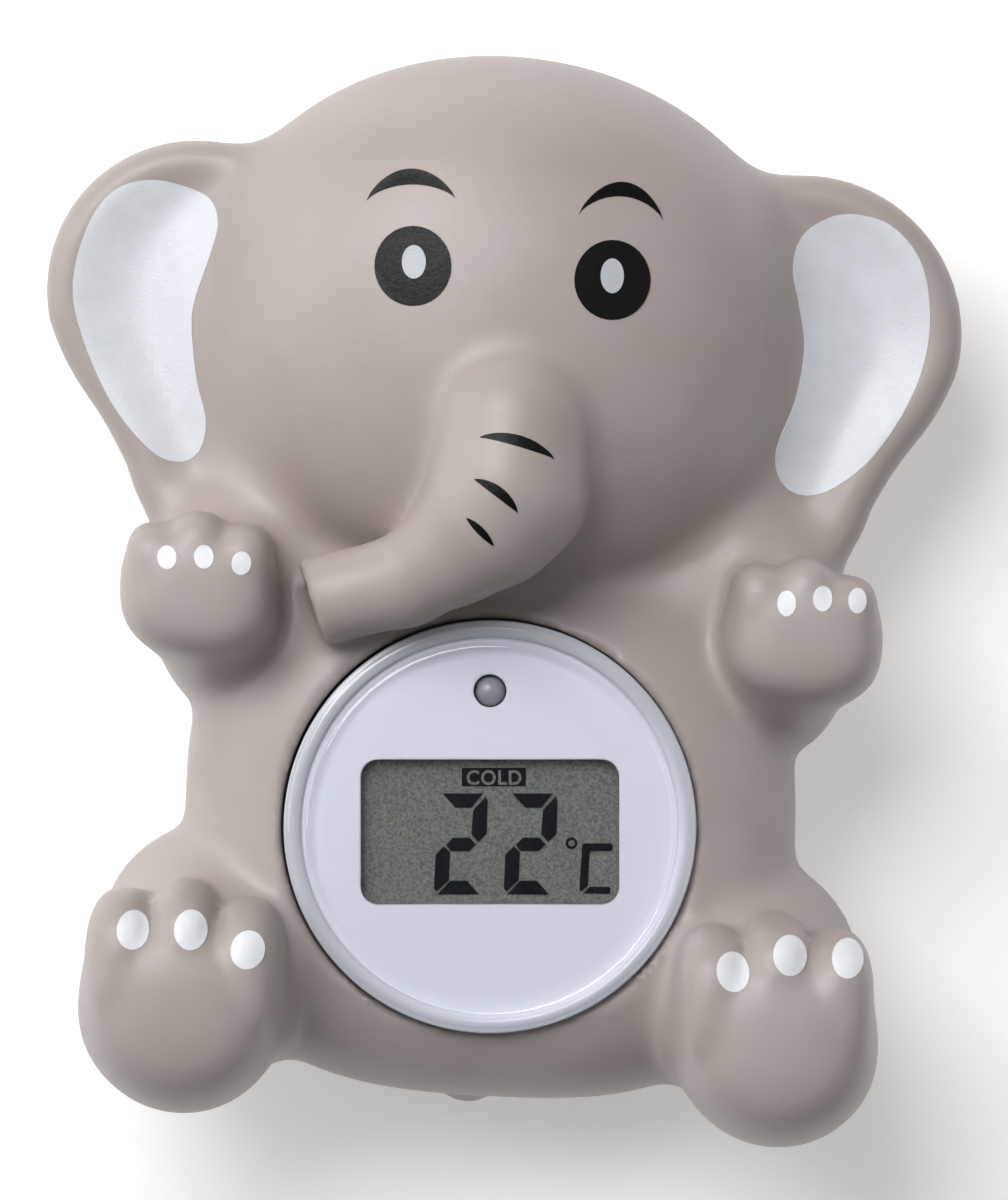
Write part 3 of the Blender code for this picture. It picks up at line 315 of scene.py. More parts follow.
def add(tree, kind, inputs=(), **settings):
    """Adds a node with its settings, and fills its inputs with values or links."""
    made = tree.nodes.new(kind)
    for name, value in settings.items():
        setattr(made, name, value)
    for key, value in inputs.items() if isinstance(inputs, dict) else enumerate(inputs):
        value = getattr(value, "socket", value)
        if isinstance(value, bpy.types.NodeSocket):
            tree.links.new(value, made.inputs[key])
        elif value is not None:
            made.inputs[key].default_value = value
    return made


# Shapes


class Number:
    """A number in the tree of a distance field: arithmetic with it adds a node to the tree."""

    def __init__(self, socket):
        self.socket = socket

    def step(self, operation, *others):
        return worked(operation, self, *others)

    def __add__(self, other):
        return self.step("ADD", other)

    def __sub__(self, other):
        return self.step("SUBTRACT", other)

    def __rsub__(self, other):
        return worked("SUBTRACT", other, self)

    def __mul__(self, other):
        return self.step("MULTIPLY", other)

    def __truediv__(self, other):
        return self.step("DIVIDE", other)

    def __neg__(self):
        return self * -1.0

    def blend(self, other, width):
        """Both shapes, with a soft hollow where they meet."""
        return self.step("SMOOTH_MIN", other, width)

    def keep(self, other, width):
        """What lies inside both, with a rounded edge between them."""
        return self.step("SMOOTH_MAX", other, width)

    def carve(self, other, width):
        return self.keep(-other, width)


class Arrow(Number):
    """A vector in the tree of a distance field."""

    def parts(self):
        split = add(self.socket.id_data, "ShaderNodeSeparateXYZ", (self,))
        return [Number(socket) for socket in split.outputs]


def worked(operation, *values):
    """What an operation makes of numbers and vectors, one of which is in the tree."""
    tree = next(value.socket.id_data for value in values if isinstance(value, Number))
    vector = operation == "SCALE" or isinstance(values[0], Arrow)
    kind = "ShaderNodeVectorMath" if vector else "ShaderNodeMath"
    made = add(tree, kind, values, operation=operation)
    if vector and operation not in ("LENGTH", "DOT_PRODUCT"):
        return Arrow(made.outputs["Vector"])
    return Number(made.outputs["Value"])


def joined(x, y, z):
    return Arrow(add(x.socket.id_data, "ShaderNodeCombineXYZ", (x, y, z)).outputs[0])


class Field:
    """The places that the elephant's shapes are drawn in: metres to the skin, negative inside it.

    The soft body leans a little, turning about the middle of its ears, so the shapes are drawn
    upright in `place`, which leans with it. A pair of shapes is drawn once in `side`, which folds
    one side onto the other.
    """

    def __init__(self, tree):
        self.point = Arrow(add(tree, "GeometryNodeInputPosition").outputs[0])
        x, y, z = self.point.parts()
        self.place = joined((y - EAR_RISE).step("MULTIPLY_ADD", LEAN, x), y, z)
        self.side = self.folded()

    def folded(self, shift=0.0, tilt=0.0):
        """Both sides folded onto +X, about a fold that can lie aside and stand askew."""
        x, y, z = self.place.parts()
        x = x - shift
        return joined(x.step("ABSOLUTE"), x.step("MULTIPLY_ADD", tilt, y), z)


def ball(place, centre, radii, squareness=2.0):
    """An ellipsoid, or with a squareness over 2 one with flatter sides."""
    nudge = 1e-7
    offset = place - tuple(c + nudge for c in centre)
    ratio = (offset / radii).step("ABSOLUTE")
    power = ratio.step("POWER", (squareness - 1,) * 3)
    size = ratio.step("DOT_PRODUCT", power).step("POWER", 1 / squareness)
    slope = (power / radii).step("LENGTH")
    return (size - 1.0) * size.step("POWER", squareness - 1) / slope


def limb(place, start, end, start_radius, end_radius):
    """A round rod between two points whose radius changes evenly along it."""
    along = tuple(b - a for a, b in zip(start, end))
    offset = place - start
    share = offset.step("DOT_PRODUCT", along) / sum(a * a for a in along)
    share = share.step("MAXIMUM", 0.0).step("MINIMUM", 1.0)
    away = (offset - worked("SCALE", along, None, None, share)).step("LENGTH")
    return away - share.step("MULTIPLY_ADD", end_radius - start_radius, start_radius)


def from_chin(place):
    """A place whose y is measured from the chin, in the shared frame."""
    x, y, z = place
    return x, CHIN + y, z


def ear(field):
    """A plate with a round edge, whose front sinks inside the rim and beside the head."""
    x, y, z = field.side.parts()
    flat = joined(x, y, 0.0)
    tip = (EAR_SPAN / 2 - EAR_RADIUS, EAR_RISE, 0.0)
    lobe = (EAR_LOBE_PLACE[0], EAR_RISE + EAR_LOBE_PLACE[1], 0.0)
    inner = (EAR_ROOT_PLACE[0], EAR_RISE + EAR_ROOT_PLACE[1], 0.0)
    leaf = limb(flat, tip, lobe, EAR_RADIUS, EAR_LOBE_RADIUS)
    outline = leaf.blend(limb(flat, tip, inner, EAR_RADIUS, EAR_ROOT_RADIUS), EAR_RIM)
    from_head = joined(x, y - (HEAD_TOP + CHIN) / 2, 0.0).step("LENGTH")
    dish = (outline + EAR_RIM).keep(EAR_FOLD - from_head, EAR_RIM)
    sink = (dish / EAR_SLOPE * -EAR_DISH).keep(0.0, EAR_DISH).blend(EAR_DISH, EAR_DISH)
    half = EAR_THICKNESS / 2 - EAR_EDGE
    height = z - EAR_DEPTH
    across = outline + EAR_EDGE
    thick = (height - half + sink).step("MAXIMUM", -height - half)
    edge = joined(across.step("MAXIMUM", 0.0), thick.step("MAXIMUM", 0.0), 0.0).step("LENGTH")
    return edge + across.step("MAXIMUM", thick).step("MINIMUM", 0.0) - EAR_EDGE


def head(field):
    middle = (HEAD_FRONT + HEAD_BACK) / 2
    depth = (HEAD_FRONT - HEAD_BACK) / 2
    brow = (HEAD_WIDTH / 2, BROW_LENGTH / 2, depth)
    cheeks = (CHEEK_WIDTH / 2, CHEEK_LENGTH / 2, depth)
    upper = ball(field.place, (0.0, HEAD_TOP - BROW_LENGTH / 2, middle), brow)
    lower = ball(field.place, (0.0, CHIN + CHEEK_LENGTH / 2, middle), cheeks)
    return upper.blend(lower, HEAD_BLEND)


def torso(field):
    bottom = FEET_BOTTOM + TORSO_ABOVE_FEET
    top = CHIN + TORSO_UNDER_CHIN
    radii = (TORSO_WIDTH / 2, (top - bottom) / 2, (TORSO_FRONT - TORSO_BACK) / 2)
    centre = (0.0, (top + bottom) / 2, (TORSO_FRONT + TORSO_BACK) / 2)
    return ball(field.place, centre, radii, TORSO_SQUARENESS)


def with_digits(place, shape, digits, radii, level, width):
    """The shape with a row of short round digits, which leave creases between them."""
    for x, y in digits:
        shape = shape.blend(ball(place, (x, y, level), radii, DIGIT_SQUARENESS), width)
    return shape


def flattened(place, shape, level, width):
    """The shape with its front pressed flat at a level, its edge rounded over a width."""
    return shape.keep(place.parts()[2] - level, width)


def arm(field):
    place = field.folded(ARM_SHIFT, ARM_TILT)
    middle = from_chin(HAND_PLACE)
    wrist = limb(place, from_chin(ARM_ROOT), middle, ARM_ROOT_RADIUS, WRIST_RADIUS)
    hand = wrist.blend(ball(place, middle, HAND_RADII, HAND_SQUARENESS), LIMB_BLEND)
    fingers = [(x, CHIN + y) for x, y in FINGERS]
    level = middle[2] + FINGER_RISE
    hand = with_digits(place, hand, fingers, FINGER_RADII, level, FINGER_BLEND)
    return flattened(place, hand, PALM_LEVEL, PALM_ROUND)


def shoulder(field):
    """The slope that fills in between the head, the ear and the arm."""
    ends = (from_chin(SHOULDER_IN), from_chin(SHOULDER_OUT))
    return limb(field.side, *ends, SHOULDER_RADIUS, SHOULDER_RADIUS)


def leg(field):
    """A thigh with a foot that shows its sole, broad at the toes and narrower at the heel."""
    place = field.folded(LEG_SHIFT)
    depth = FOOT_DEPTH / 2
    level = FOOT_FRONT - depth
    toes = (FOOT_REACH, FEET_BOTTOM + FOOT_LENGTH - TOE_LENGTH / 2, level)
    heel = (FOOT_REACH, FEET_BOTTOM + HEEL_LENGTH / 2, level)
    front = ball(place, toes, (FOOT_RADIUS, TOE_LENGTH / 2, depth), FOOT_SQUARENESS)
    back = ball(place, heel, (FOOT_RADIUS - HEEL_TAPER, HEEL_LENGTH / 2, depth))
    thigh = (THIGH_PLACE[0], FEET_BOTTOM + THIGH_PLACE[1], THIGH_DEPTH)
    shin = limb(place, thigh, heel, THIGH_RADIUS, FOOT_RADIUS - 2 * HEEL_TAPER)
    foot = front.blend(back, LIMB_BLEND).blend(shin, LIMB_BLEND)
    digits = [(x, FEET_BOTTOM + y) for x, y in TOES]
    foot = with_digits(place, foot, digits, TOE_RADII, level, TOE_BLEND)
    return flattened(place, foot, SOLE_LEVEL, SOLE_ROUND)


def trunk_rods(field, line):
    shape = None
    for (*start, start_radius), (*end, end_radius) in zip(line, line[1:]):
        rod = limb(field.place, from_chin(start), from_chin(end), start_radius, end_radius)
        shape = shape.blend(rod, TRUNK_BLEND) if shape else rod
    return shape


def trunk_end(field):
    """The free end of the trunk, cut square across, with a nostril crease."""
    outward = (-math.cos(TRUNK_END_TURN), -math.sin(TRUNK_END_TURN), 0.0)
    mouth = from_chin((*TRUNK_END, TRUNK[-1][2] + TRUNK[-1][3] / 2))
    beyond = (field.place - mouth).step("DOT_PRODUCT", outward)
    across = (mouth[0] - outward[1] * NOSTRIL_RADIUS, mouth[1] + NOSTRIL_RADIUS, mouth[2])
    nostril = limb(field.place, mouth, across, NOSTRIL_RADIUS, NOSTRIL_RADIUS)
    cut = trunk_rods(field, TRUNK[1:]).keep(beyond, NOSTRIL_RADIUS)
    return cut.carve(nostril, NOSTRIL_RADIUS)


def tail(field):
    end = (TAIL_SIDE, FEET_BOTTOM + TORSO_ABOVE_FEET - TAIL_REACH + TAIL_RADIUS, TAIL_DEPTH)
    root = (TAIL_SIDE, end[1] + 2 * TAIL_RADIUS, TAIL_DEPTH)
    return limb(field.place, root, end, TAIL_RADIUS, TAIL_RADIUS)


def new_tree(name, **wanted):
    """A tree with named inputs of these kinds, their identifiers by name, and their sockets."""
    tree = bpy.data.node_groups.new(name, "GeometryNodeTree")
    keys = {}
    for key, kind in wanted.items():
        label = key.replace("_", " ").capitalize()
        socket = tree.interface.new_socket(label, in_out="INPUT", socket_type="NodeSocket" + kind)
        keys[key] = socket.identifier
    tree.interface.new_socket("Geometry", in_out="OUTPUT", socket_type="NodeSocketGeometry")
    return tree, keys, dict(zip(wanted, add(tree, "NodeGroupInput").outputs))


def end_tree(tree, geometry, material):
    """Ends a tree in whole geometry with its material."""
    whole = add(tree, "GeometryNodeRealizeInstances", {"Geometry": geometry})
    inputs = {"Geometry": whole.outputs[0], "Material": material}
    coated = add(tree, "GeometryNodeSetMaterial", inputs)
    add(tree, "NodeGroupOutput", (coated.outputs[0],))


def elephant_tree():
    """The elephant's skin as a tree, its opening for the capsule sized by named inputs."""
    tree, keys, sizes = new_tree(
        "elephant_skin", capsule_place="Vector", recess_radius="Float", ledge_level="Float",
        bore_radius="Float", rear_opening_radius="Float", lip_rounding="Float",
        low_corner="Vector", high_corner="Vector", grid_step="Float", material="Material",
    )
    field = Field(tree)
    shape = head(field)
    for piece, width in (
        (torso(field), CHIN_CREASE),
        (shoulder(field), HEAD_BLEND),
        (leg(field), LIMB_CREASE),
        (arm(field), LIMB_CREASE),
        (ear(field), EAR_BLEND),
        (trunk_rods(field, TRUNK[:2]), TRUNK_CREASE),
        (trunk_end(field), TRUNK_CREASE),
        (tail(field), TRUNK_BLEND),
    ):
        shape = shape.blend(piece, width)
    shape = shape.keep(-field.place.parts()[2], BACK_BLEND)

    x, y, _ = (field.point - sizes["capsule_place"]).parts()
    from_axis = joined(x, y, 0.0).step("LENGTH")
    level = field.point.parts()[2]
    under_ledge = sizes["ledge_level"] - level
    recess = (from_axis - sizes["recess_radius"]).step("MAXIMUM", under_ledge)
    shape = shape.carve(recess, sizes["lip_rounding"])
    above_door = DOOR_HIGH.z + PLAY - level
    bore = (from_axis - sizes["bore_radius"]).step("MAXIMUM", above_door)
    bore = bore.step("MINIMUM", from_axis - sizes["rear_opening_radius"])
    shape = shape.carve(bore, PLAY)

    grid = Number(sizes["grid_step"])
    span = Arrow(sizes["high_corner"]) - sizes["low_corner"]
    inputs = {
        "Density": -shape,
        "Background": -grid,
        "Min": sizes["low_corner"],
        "Max": sizes["high_corner"],
        **{"Resolution " + axis: side / grid + 1.0 for axis, side in zip("XYZ", span.parts())},
    }
    cube = add(tree, "GeometryNodeVolumeCube", inputs)
    skin = add(tree, "GeometryNodeVolumeToMesh", {"Volume": cube.outputs[0], "Threshold": 0.0})
    inputs = {"Value": field.point, "Iterations": 2}
    even = add(tree, "GeometryNodeBlurAttribute", inputs, data_type="FLOAT_VECTOR")
    inputs = {"Geometry": skin.outputs[0], "Position": even.outputs[0]}
    relaxed = add(tree, "GeometryNodeSetPosition", inputs)
    smooth = add(tree, "GeometryNodeSetShadeSmooth", {"Geometry": relaxed.outputs[0]})
    end_tree(tree, smooth.outputs[0], sizes["material"])
    return tree, keys


def link(found):
    bpy.context.scene.collection.objects.link(found)
    return found


def evaluated(found):
    """A plain mesh of what an object is after its modifiers."""
    graph = bpy.context.evaluated_depsgraph_get()
    graph.update()
    return bpy.data.meshes.new_from_object(found.evaluated_get(graph))


def from_tree(name, tree, keys, **values):
    """The plain object that a tree makes with these values of its named inputs."""
    maker = link(bpy.data.objects.new(name + "_maker", bpy.data.meshes.new(name + "_maker")))
    step = maker.modifiers.new("Make", "NODES")
    step.node_group = tree
    for key, value in values.items():
        step[keys[key]] = value
    mesh = evaluated(maker)
    mesh.name = name
    bpy.data.objects.remove(maker)
    bpy.data.node_groups.remove(tree)
    return link(bpy.data.objects.new(name, mesh))


def settle(found, slot, *nodes):
    """Hides the CAD nodes that a finished piece replaces, and lets it ride on the one body. The slot
    is not used.
    """
    if nodes:
        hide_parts(*nodes)
    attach(found, "root")


def seat(x, y, z=0.0):
    """A place of the capsule, which is pushed into the body turned a little, in the shared frame."""
    cos, sin = math.cos(CAPSULE_TURN), math.sin(CAPSULE_TURN)
    return Vector((CAPSULE.x + x * cos - y * sin, CAPSULE.y + x * sin + y * cos, z))


def finished(name, shape, material):
    """The object of a bmesh with its material, its normals outwards and its round sides smooth."""
    bmesh.ops.remove_doubles(shape, verts=shape.verts, dist=1e-7)
    bmesh.ops.recalc_face_normals(shape, faces=shape.faces)
    mesh = bpy.data.meshes.new(name)
    shape.to_mesh(mesh)
    shape.free()
    mesh.materials.append(material)
    mesh.shade_smooth()
    mesh.set_sharp_from_angle(angle=ROUND_SIDE)
    return link(bpy.data.objects.new(name, mesh))


def lathe(shape, profile, steps, place=(0.0, 0.0), closed=False):
    """Adds a profile of (radius, height) points, from axis to axis, turned about a capsule place.

    A closed profile is a ring that stays clear of the axis.
    """
    rings = []
    for radius, height in profile:
        if radius < 1e-7:
            rings.append([shape.verts.new(seat(*place, height))])
            continue
        ring = []
        for n in range(steps):
            turn = 2 * math.pi * n / steps
            x = place[0] + radius * math.cos(turn)
            y = place[1] + radius * math.sin(turn)
            ring.append(shape.verts.new(seat(x, y, height)))
        rings.append(ring)
    if closed:
        rings.append(rings[0])
    for upper, lower in zip(rings, rings[1:]):
        for n in range(steps):
            m = n + 1
            turn = ((upper, n), (upper, m), (lower, m), (lower, n))
            corners = [ring[k % len(ring)] for ring, k in turn]
            unique = list(dict.fromkeys(corners))
            if len(unique) > 2:
                shape.faces.new(unique)


def turned(name, profile, steps, material, place=(0.0, 0.0), closed=False):
    """The object of one turned profile."""
    shape = bmesh.new()
    lathe(shape, profile, steps, place, closed)
    return finished(name, shape, material)


def arc(centre, radius, start, end, steps):
    """Points on an arc, from one angle in degrees to another."""
    for n in range(steps + 1):
        turn = math.radians(start + (end - start) * n / steps)
        yield centre[0] + radius * math.cos(turn), centre[1] + radius * math.sin(turn)


def prism(shape, outline, low, high):
    """Adds an upright prism over an outline given at the capsule's axis."""
    bottom = [shape.verts.new(seat(x, y, low)) for x, y in outline]
    top = [shape.verts.new(seat(x, y, high)) for x, y in outline]
    shape.faces.new(bottom)
    shape.faces.new(top)
    for n in range(len(outline)):
        m = (n + 1) % len(outline)
        shape.faces.new((bottom[n], bottom[m], top[m], top[n]))


def cut_away(found, shape):
    """Cuts a bmesh out of an object's mesh."""
    other = finished("cutter", shape, found.data.materials[0])
    step = found.modifiers.new("Cut", "BOOLEAN")
    step.operation = "DIFFERENCE"
    step.solver = "EXACT"
    step.object = other
    mesh = evaluated(found)
    old = found.data
    found.modifiers.clear()
    found.data = mesh
    mesh.name = found.name
    mesh.set_sharp_from_angle(angle=ROUND_SIDE)
    bpy.data.meshes.remove(old)
    bpy.data.objects.remove(other)


# Marks painted on the skin


def photo_turn():
    return Matrix.Rotation(CAMERA_TURN, 3, "Z")


def sight_place(x, y, level):
    """Where a pixel of the photograph's frame lies on the plane of sight, lifted to a level."""
    aside = ((x - CAPSULE_PIXEL[0]) * METRES_A_PIXEL, (CAPSULE_PIXEL[1] - y) * METRES_A_PIXEL, 0.0)
    return Vector((CAPSULE.x, CAPSULE.y, level)) + photo_turn() @ Vector(aside)


def camera_place():
    """The camera looks straight down, its picture's middle beside the capsule."""
    return sight_place(PHOTO_SIZE[0] / 2, PHOTO_SIZE[1] / 2, SIGHT_LEVEL + CAMERA_DISTANCE)


def on_skin(skin, x, y):
    """The place and normal of the skin that a pixel of the photograph's frame shows, or None."""
    eye = camera_place()
    place, normal, _, _ = skin.ray_cast(eye, (sight_place(x, y, SIGHT_LEVEL) - eye).normalized())
    if place is None or place.z < LEDGE_TOP / 2:
        return None
    return place, normal


def nearest_on_skin(skin, x, y, middle):
    """The same for a pixel that may lie past the edge of the skin: it is drawn in to the middle."""
    for step in range(50):
        found = on_skin(skin, x, y)
        if found:
            return found
        x += (middle[0] - x) * 0.04
        y += (middle[1] - y) * 0.04
    raise RuntimeError(f"no skin under the mark about {middle[0]:.0f}, {middle[1]:.0f}")


def inside(x, y, outline):
    """Whether a point lies inside a closed outline."""
    found = False
    for (x1, y1), (x2, y2) in zip(outline, outline[1:] + outline[:1]):
        if (y1 > y) != (y2 > y) and x < x1 + (y - y1) * (x2 - x1) / (y2 - y1):
            found = not found
    return found


def oval(x, y, half_width, half_height, turn):
    """Outline of an oval, turned by degrees, a little squarer than an ellipse."""
    lean = math.radians(turn)
    points = []
    count = 40
    for n in range(count):
        angle = 2 * math.pi * n / count
        dx = half_width * math.cos(angle)
        dy = half_height * math.sin(angle)
        points.append((
            x + dx * math.cos(lean) - dy * math.sin(lean),
            y + dx * math.sin(lean) + dy * math.cos(lean),
        ))
    return points


def crescent(start, end, upper, lower):
    """Outline between two bowed edges that meet in pointed tips."""
    along = Vector(end) - Vector(start)
    aside = Vector((along.y, -along.x)).normalized()
    count = 22
    shares = [(n / count, upper) for n in range(count)]
    shares += [(1 - n / count, lower) for n in range(count)]
    points = []
    for share, height in shares:
        bow = height * (4 * share * (1 - share)) ** BOW_FULLNESS
        points.append(tuple(Vector(start) + along * share + aside * bow))
    return points


def curved(corners, count=6):
    """A smooth closed outline through its corners."""
    points = []
    total = len(corners)
    for n in range(total):
        a, b, c, d = (Vector(corners[(n + k) % total]) for k in (-1, 0, 1, 2))
        for m in range(count):
            t = m / count
            point = 2 * b + (c - a) * t + (2 * a - 5 * b + 4 * c - d) * t * t
            point = (point + (3 * b - a - 3 * c + d) * t ** 3) / 2
            points.append(tuple(point))
    return points


def painted(shape, skin, outline, spacing, raised, depth):
    """Adds a closed coat of paint that lies on the skin inside an outline of pixels."""
    xs = [x for x, _ in outline]
    ys = [y for _, y in outline]
    points = [Vector(point) for point in outline]
    for i in range(int((max(xs) - min(xs)) / spacing) + 1):
        for j in range(int((max(ys) - min(ys)) / spacing) + 1):
            x = min(xs) + (i + 0.5 * (j % 2)) * spacing
            y = min(ys) + j * spacing
            clear = min((Vector((x, y)) - Vector(point)).length for point in outline)
            if clear > 0.4 * spacing and inside(x, y, outline):
                points.append(Vector((x, y)))
    flat, _, faces, _, _, _ = delaunay_2d_cdt(points, [], [list(range(len(outline)))], 1, 1e-5)
    middle = (sum(xs) / len(xs), sum(ys) / len(ys))
    places = [nearest_on_skin(skin, point.x, point.y, middle) for point in flat]
    near = [set() for _ in flat]
    for face in faces:
        for n, m in zip(face, [*face[1:], face[0]]):
            near[n].add(m)
            near[m].add(n)
    levels = [place.z for place, _ in places]
    for _ in range(3):
        levels = [
            (levels[n] + sum(levels[m] for m in ring) / len(ring)) / 2
            for n, ring in enumerate(near)
        ]
    upper = []
    lower = []
    for (place, normal), level in zip(places, levels):
        middle = Vector((place.x, place.y, max(level, place.z)))
        upper.append(shape.verts.new(middle + normal * raised))
        lower.append(shape.verts.new(middle - normal * depth))
    rims = {}
    for face in faces:
        shape.faces.new([upper[n] for n in face])
        shape.faces.new([lower[n] for n in reversed(face)])
        for n, m in zip(face, [*face[1:], face[0]]):
            key = (min(n, m), max(n, m))
            rims[key] = None if key in rims else (n, m)
    for pair in rims.values():
        if pair:
            n, m = pair
            shape.faces.new((upper[m], upper[n], lower[n], lower[m]))


# Finishes


def grained(tree, size_mm, detail=3.0):
    """A noise pattern whose grains are this many millimetres across."""
    place = add(tree, "ShaderNodeTexCoord").outputs["Object"]
    inputs = {"Vector": place, "Scale": 1.0 / (size_mm * MM), "Detail": detail, "Roughness": 0.55}
    return add(tree, "ShaderNodeTexNoise", inputs).outputs["Fac"]


def tinted(tree, pattern, first, second):
    """Two linear colours mixed by a pattern."""
    ramp = add(tree, "ShaderNodeValToRGB", {"Fac": pattern})
    for element, position, colour_value in zip(ramp.color_ramp.elements, (0.3, 0.7), (first, second)):
        element.position = position
        element.color = (*colour_value, 1.0)
    return ramp.outputs["Color"]


def toned(colour_value, code):
    """A linear colour seen through a tint."""
    return [share * tint for share, tint in zip(colour_value, linear(code))]


def surface(name, first, second, patch, grain, relief_mm, roughness, peel=None, **sockets):
    """A finish in two close colours, or in one where both are the same.

    Patch, grain and peel are the (millimetres, detail) of their patterns. The patches mix the
    colours, the grain spreads the roughness and stands in relief, and the peel lies over it.
    """
    found = bpy.data.materials.new(name)
    found.use_nodes = True
    tree = found.node_tree
    tree.nodes.clear()
    even = list(first) == list(second)
    base = (*first, 1.0) if even else tinted(tree, grained(tree, *patch), first, second)
    pattern = grained(tree, *grain)
    low, high = roughness
    inputs = {"Value": pattern, "From Min": 0.3, "From Max": 0.7, "To Min": low, "To Max": high}
    rough = add(tree, "ShaderNodeMapRange", inputs)
    inputs = {"Base Color": base, "Roughness": rough.outputs["Result"], **sockets}
    layers = [(pattern, relief_mm)] if relief_mm else []
    if peel:
        layers.append((grained(tree, *peel), PEEL_RELIEF))
    for height, depth in layers:
        bump = {"Height": height, "Strength": 1.0, "Distance": depth * MM}
        bump["Normal"] = inputs.get("Normal")
        inputs["Normal"] = add(tree, "ShaderNodeBump", bump).outputs[0]
    shader = add(tree, "ShaderNodeBsdfPrincipled", inputs)
    add(tree, "ShaderNodeOutputMaterial", {"Surface": shader.outputs[0]})
    return found


def two_tone(name, first, second, patch_mm, grain_mm, relief_mm, roughness, **sockets):
    """A finish between two close hex colours, with patterns of an even detail."""
    patch, grain = (patch_mm, 3.0), (grain_mm, 3.0)
    return surface(
        name, linear(first), linear(second), patch, grain, relief_mm, roughness, **sockets
    )


# The sizes and colours that a user would change


def colour(name, code, description):
    return FloatVectorProperty(
        name=name, description=description, default=linear(code),
        subtype="COLOR", size=3, min=0.0, max=1.0,
    )


def length(name, value_mm, least_mm, most_mm, description):
    return FloatProperty(
        name=name, description=description, default=value_mm * MM, min=least_mm * MM,
        max=most_mm * MM, precision=5, subtype="DISTANCE", unit="LENGTH",
    )


def power(name, value, description):
    return FloatProperty(
        name=name, description=description, default=value, min=0.0, max=100.0,
        subtype="POWER", unit="POWER",
    )


class BATH_Sizes(bpy.types.PropertyGroup):
    grid_step: length("Skin grid step", 0.6, 0.4, 2.0, "Spacing of the grid the skin is drawn on")
    paint_height: length("Paint thickness", 0.05, 0.02, 0.3, "How far paint stands off the skin")
    paint_depth: length("Paint root", 0.15, 0.05, 0.5, "How far paint reaches into the skin")
    figure_height: length("Figure thickness", 0.06, 0.02, 0.2, "Thickness of the display's figures")
    turned_steps: IntProperty(
        name="Turned facets", description="Facets round the clear cover and the battery door",
        default=160, min=36, max=360,
    )


class BATH_Colours(bpy.types.PropertyGroup):
    skin: colour("Soft body", "B1A8A4", "Warm grey of the soft vinyl body")
    ears: colour("Ear paint", "E0E3E9", "White of the ears")
    # The nails' white is set lighter than the ears' paint: painted highlight, bringing them up to the
    # brightness of the lit nails
    nails: colour("Nail paint", "F1F3F7", "White of the nails, which are sprayed thicker")
    ink: colour("Black ink", "060606", "Black of the eyes, brows and wrinkles")
    plate: colour("Dial plate", "C2C3C8", "White of the printed plate")
    display: colour("Display", "70726A", "Grey green of the display")
    floor: colour("Floor", "F4F4F3", "Plain pale floor")


class BATH_Light(bpy.types.PropertyGroup):
    key_power: power("Key lamp power", 4.1, "Power of the soft lamp at the upper left")
    side_power: power("Side lamp power", 1.4, "Power of the low soft lamp at the left")
    fill_power: power("Fill lamp power", 0.4, "Power of the weak soft lamp at the right")
    lamp_width: length("Lamp width", 440, 50, 2000, "Width of the three soft lamps")
    sky: FloatProperty(
        name="Room light", description="Strength of the pale light from all sides",
        default=0.17, min=0.0, max=5.0,
    )


# Operators, one for each piece or group of like pieces


class BATH_OT_elephant_body(bpy.types.Operator):
    """Sculpts the elephant's soft skin on a fine grid and coats it in vinyl"""

    bl_idname = "bath.elephant_body"
    bl_label = "Elephant body"

    def execute(self, context):
        sizes = context.scene.bath_sizes
        low, high = (Vector(corner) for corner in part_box("elephant_body"))
        margin = Vector((1, 1, 1)) * 4 * sizes.grid_step
        tree, keys = elephant_tree()
        body = from_tree(
            "elephant_skin", tree, keys,
            capsule_place=(CAPSULE.x - RECESS_ASIDE, CAPSULE.y, 0.0),
            recess_radius=RECESS_RADIUS,
            ledge_level=LEDGE_TOP,
            bore_radius=HOUSING_RADIUS + PLAY,
            rear_opening_radius=DOOR_RADIUS + PLAY,
            lip_rounding=LIP_ROUND,
            low_corner=tuple(low - margin),
            high_corner=tuple(high + margin),
            grid_step=sizes.grid_step,
            material=soft_vinyl(context.scene.bath_colours.skin),
        )
        settle(body, "soft_grey_vinyl", "elephant_body")
        return {"FINISHED"}


def soft_vinyl(skin):
    """Rotationally moulded soft PVC: a matt warm grey with broad soft highlights."""
    return surface(
        "soft_moulded_pvc", toned(skin, "F4F0EE"), list(skin), (14.0, 2.0), (0.35, 3.0), 0.012,
        (0.38, 0.48), peel=(1.6, 2.0), IOR=1.53,
    )


